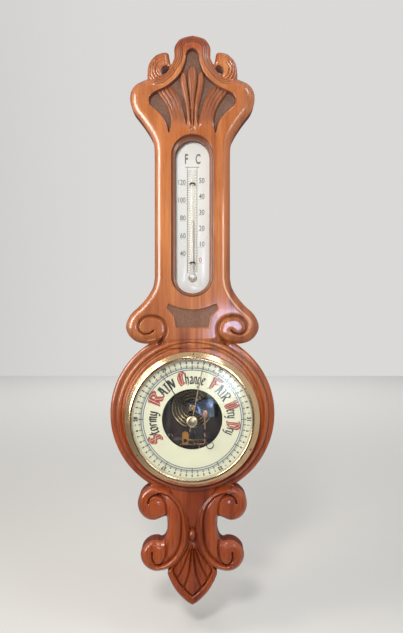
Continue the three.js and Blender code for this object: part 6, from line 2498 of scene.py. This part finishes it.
@dataclass
class Thermometer:
    """Opal plate, glass tube, mercury and wire clips."""

    tube_radius: float = 2.85
    bulb_radius: float = 5.6
    scale_top: float = -143.1
    scale_foot: float = -286.0
    scale_sides: Pair = (-7.1, 6.1)
    degrees: Pair = (2.42, 2.165)
    clip_wire: float = 0.5
    thread_radius: float = 0.5
    letter_size: float = 18.8
    letter_rise: float = 10.4
    line_drop: float = 4.2
    number_size: float = 9.8
    number_narrow: float = 0.78
    number_rows: tuple[Pair, ...] = ((-163.9, 24.2), (-161.4, 21.65))
    numbers: tuple[tuple[str, ...], ...] = (
        ("120", "100", "80", "60", "40"), ("50", "40", "30", "20", "10", "0"),
    )
    plate: Span = field(default_factory=lambda: Span.of("thermometer_plate"))
    tube: Span = field(default_factory=lambda: Span.of("thermometer_tube"))
    mercury: Span = field(default_factory=lambda: Span.of("mercury_column"))

    def build(self) -> None:
        """Make the thermometer."""
        self.level = (self.tube.back + self.tube.front) / 2
        self.bulb = self.tube.low + self.bulb_radius
        self.make_plate()
        self.make_tube()
        self.make_mercury()
        for node in numbered("tube_clip", 2):
            self.make_clip(node)
        self.print_scale()

    def make_plate(self) -> None:
        """White glass plate with a hollow for the bulb."""
        span = self.plate
        hole = ring_points(self.bulb_radius + 0.3, 64, (0, self.bulb))
        piece = plate(
            "opal_plate", oblong(span.radius, span.high, span.low, 48), span.back, span.front, [hole], 0.3)
        dress(piece, OPAL, nodes=["thermometer_plate"])

    def make_tube(self) -> None:
        """Glass tube with a bulb, sealed round at its top."""
        angle = math.acos(self.tube_radius / self.bulb_radius)
        outer = [
            (self.bulb_radius * math.cos(t), self.bulb_radius * math.sin(t))
            for t in np.linspace(-math.pi / 2, angle, 28)
        ]
        outer[0] = (0, -self.bulb_radius)
        height = self.tube.high - self.bulb
        radius = self.tube_radius
        dome = [
            (radius * math.cos(t), height - radius + radius * math.sin(t))
            for t in np.linspace(0, math.pi / 2, 12)
        ]
        dome[-1] = (0, height)
        face = outer + [(radius + 0.6, outer[-1][1] + 1.6), (radius, outer[-1][1] + 4)] + dome
        face = [(r, self.bulb + up) for r, up in face]
        piece = turned("glass_tube", face, 64, (0, 0), Axis.UP, self.level)
        dress(piece, TUBE_GLASS, nodes=["thermometer_tube"])

    def make_mercury(self) -> None:
        """Mercury in the bulb and up the bore, with a round top."""
        span = self.mercury
        bulb = span.radius
        thread = self.thread_radius
        angle = math.acos(thread / bulb)
        face = [(bulb * math.cos(t), bulb * math.sin(t)) for t in np.linspace(-math.pi / 2, angle, 24)]
        face[0] = (0, -bulb)
        top = span.high - self.bulb
        face += [(thread, top - thread), (thread * 0.7, top - 0.3), (0, top)]
        face = [(r, self.bulb + up) for r, up in face]
        piece = turned("mercury_thread", face, 48, (0, 0), Axis.UP, self.level)
        dress(piece, MERCURY, nodes=["mercury_column"])

    def make_clip(self, node: str) -> None:
        """Bent wire over the tube, with a foot on each side."""
        span = Span.of(node)
        wire = self.clip_wire
        y = span.centre[1] + 0.6
        foot = self.plate.front + 0.3 + wire
        bow = self.tube_radius + 0.2 + wire
        path = [(bow + 0.3, foot), (bow + 0.1, foot), (bow + 0.02, foot + 0.6)]
        path += [tuple(p) for p in arc_points((0, self.level), bow, 8, 172, 24)]
        path += [(-bow - 0.02, foot + 0.6), (-bow - 0.1, foot), (-bow - 0.3, foot)]
        dip = [1.4 * max(abs(x) / bow - 0.4, 0) for x, _ in path]
        piece = swept(node + "_wire", [(x, y - d, out) for (x, out), d in zip(path, dip)], wire, 12)
        join(piece, swept("strand", [(x, y + 1 - d, out) for (x, out), d in zip(path, dip)], wire, 12))
        dress(piece, BLUED_STEEL, nodes=[node])

    def print_scale(self) -> None:
        """Print the scale lines, ticks, numbers and letters."""
        lines = Print(self.plate.front)
        signs = Print(self.plate.front)
        red = Print(self.plate.front)
        left, right = self.scale_sides
        lines.bar((left - 3.0, self.scale_top), (right + 3.0, self.scale_top), 0.9)
        for x in (left, right):
            lines.bar((x, self.scale_top), (x, self.scale_foot), 0.8)
        for x, inward, step in ((left, 4.2, self.degrees[0]), (right, -3.4, self.degrees[1])):
            for i in range(round((self.scale_top - self.scale_foot - 6) / step) + 1):
                y = self.scale_top - 5 - i * step
                lines.bar((x, y), (x + inward * (1.4 if i % 5 == 0 else 1.0), y), 0.55)
        self.print_numbers(lines, signs, red)
        dress(lines.piece("thermometer_lines"), GREY_INK)
        dress(signs.piece("thermometer_numbers"), DARK_GREY_INK)
        dress(red.piece("freezing_mark"), RED_INK)

    def print_numbers(self, lines: Print, signs: Print, red: Print) -> None:
        """Print the two rows of degrees with their lines, and their letters.

        Args:
            lines: Thin print.
            signs: Print of the numbers.
            red: Print of the freezing mark.
        """
        left, right = self.scale_sides
        for row, (first, step) in enumerate(self.number_rows):
            for i, text in enumerate(self.numbers[row]):
                y = first - i * step
                outer = left - 9.5 if row == 0 else right + 9.0
                under = y - self.line_drop
                lines.bar((outer, under), (left if row == 0 else right, under), 0.22)
                align, x = (Align.RIGHT, left - 2.2) if row == 0 else (Align.LEFT, right + 2.6)
                ink = red if text == "0" else signs
                bold = 0.02 if text == "0" else 0.14
                sign = Sign(text, self.number_size, align, bold, self.number_narrow)
                points, faces = sign.mesh_points()
                ink.add(points + (x, y), faces)
        for text, x in (("F", -8.5), ("C", 7.4)):
            points, faces = Sign(text, self.letter_size, weight=0.45, narrow=0.54).mesh_points()
            signs.add(points + (x, self.scale_top + self.letter_rise), faces)


@dataclass(frozen=True)
class Lamp:
    """A soft rectangular light, with its places and sizes in metres and its power in watts."""

    name: str
    place: Place
    size: Pair
    power: float
    colour: Colour
    aim: Place
    rays: Rays = Rays.ALL

    def hang(self) -> None:
        """Add the light to the scene, facing its aim."""
        lamp = bpy.data.lights.new(self.name, "AREA")
        lamp.shape = "RECTANGLE"
        lamp.energy = self.power
        lamp.size, lamp.size_y = self.size
        lamp.color = self.colour
        holder = bpy.data.objects.new(self.name, lamp)
        holder.location = self.place
        holder.visible_glossy = self.rays is not Rays.LIT_ONLY
        holder.visible_diffuse = self.rays in (Rays.ALL, Rays.LIT_ONLY)
        holder.visible_transmission = self.rays in (Rays.ALL, Rays.GLINTS_ONLY)
        holder.rotation_euler = (Vector(self.aim) - Vector(self.place)).to_track_quat("-Z", "Y").to_euler()
        bpy.context.scene.collection.objects.link(holder)


WARM = (1.0, 0.90, 0.78)
COOL = (0.72, 0.88, 1.0)
PLAIN = (1.0, 0.96, 0.90)
WHITE = (1.0, 1.0, 1.0)
SKY = (0.62, 0.66, 1.0)
AT_DIAL = (0.0, -0.04, -0.46)
HEAD_ON = (0.125, 0.0, -0.50)
LAMPS = (
    Lamp("key", (-0.12, -0.66, -0.06), (0.14, 0.14), 4.3, PLAIN, (0.0, 0.0, -0.24), Rays.LIT_ONLY),
    Lamp("tall_window", (-0.72, -0.33, -0.20), (0.25, 0.58), 7.0, PLAIN, (0.0, 0.0, -0.20),
         Rays.SHEEN_ONLY),
    Lamp("neck_sky", (0.13, -1.5, -0.395), (0.15, 0.17), 1.8, SKY, (0.13, 0.0, -0.395),
         Rays.SHEEN_ONLY),
    Lamp("side_lamp", (0.36, -0.53, -0.17), (0.22, 0.22), 1.4, PLAIN, AT_DIAL, Rays.GLINTS_ONLY),
    Lamp("high_lamp", (-0.08, -0.70, 0.50), (0.10, 0.10), 0.6, PLAIN, AT_DIAL, Rays.GLINTS_ONLY),
    Lamp("window", (0.115, -1.5, -0.54), (0.155, 0.34), 0.22, COOL, HEAD_ON),
    Lamp("window_panes", (0.125, -1.5, -0.56), (0.10, 0.24), 0.20, COOL, HEAD_ON),
    Lamp("window_middle", (0.130, -1.5, -0.57), (0.06, 0.18), 0.07, COOL, HEAD_ON),
    Lamp("left_card", (-0.50, -0.28, 0.10), (0.20, 0.20), 1.7, WARM, AT_DIAL),
    Lamp("right_card", (0.30, -0.28, 0.22), (0.16, 0.16), 0.8, COOL, AT_DIAL),
    Lamp("wash", (0.0, 2.2, 0.9), (3.0, 2.0), 24.0, WHITE, (0.0, 2.2, -0.78)),
)


@dataclass
class Studio:
    """Pale floor, soft lights and the camera at the photograph's angle."""

    camera_place: Place = (0.0122, -0.696, -0.346)
    lens: float = 28.8
    sensor: float = 36.0
    floor_level: float = -0.78
    floor_size: float = 6.0
    tone: Colour = (0.80, 0.79, 0.77)
    front_glow: float = 0.06
    side_glow: float = 0.66
    left_share: float = 0.42
    backdrop_glow: float = 0.22

    def build(self) -> None:
        """Set the stage."""
        self.add_camera()
        self.add_floor()
        self.add_world()
        bpy.context.scene.view_settings.view_transform = "Standard"
        for lamp in LAMPS:
            lamp.hang()

    def add_camera(self) -> None:
        """Level camera that looks straight at the wall."""
        lens = bpy.data.cameras.new("camera")
        lens.lens = self.lens
        lens.sensor_width = self.sensor
        camera = bpy.data.objects.new("camera", lens)
        camera.location = self.camera_place
        camera.rotation_euler = (math.pi / 2, 0, 0)
        bpy.context.scene.collection.objects.link(camera)
        bpy.context.scene.camera = camera

    def add_floor(self) -> None:
        """Plain floor well below the barometer."""
        half = self.floor_size / MM / 2
        level = self.floor_level / MM
        rows = [(-half, level, -half), (half, level, -half), (half, level, half), (-half, level, half)]
        floor = solid("floor", rows, [[0, 1, 2, 3]])
        material = bpy.data.materials.new("floor_paint")
        material.use_nodes = True
        shader = Shader(material.node_tree)
        surface = material.node_tree.nodes["Principled BSDF"]
        shader.feed(surface.inputs["Base Color"], self.tone)
        shader.feed(surface.inputs["Roughness"], 0.9)
        floor.data.materials.append(material)
        floor.visible_glossy = False

    def add_world(self) -> None:
        """Pale surroundings that are dim in reflections, most of all in front of the wall."""
        world = bpy.data.worlds.new("surroundings")
        world.use_nodes = True
        bpy.context.scene.world = world
        shader = Shader(world.node_tree)
        toward = shader.node("SeparateXYZ")
        shader.feed(toward.inputs[0], shader.node("TexCoord").outputs["Generated"])
        around = shader.ramp(toward.outputs["Y"], -0.95, -0.35, self.front_glow, self.side_glow)
        leftward = shader.ramp(toward.outputs["X"], -0.95, -0.1, self.left_share, 1.0)
        around = shader.math("MULTIPLY", around, leftward)
        seen = shader.node("LightPath").outputs["Is Camera Ray"]
        glow = shader.math("ADD", around, shader.math("MULTIPLY", seen, self.backdrop_glow))
        background = world.node_tree.nodes["Background"]
        shader.feed(background.inputs["Color"], self.tone)
        shader.feed(background.inputs["Strength"], glow)


def main() -> None:
    """Build the barometer and its studio, and report each piece."""
    logging.basicConfig(level=logging.INFO, format="%(message)s")
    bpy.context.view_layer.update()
    Studio().build()
    for part in (CarvedCase(), Fixings(), Thermometer(), Bezel(), Dial(), Hands(), Movement()):
        part.build()
        log.info("%s done", type(part).__name__)


if __name__ == "__main__":
    main()
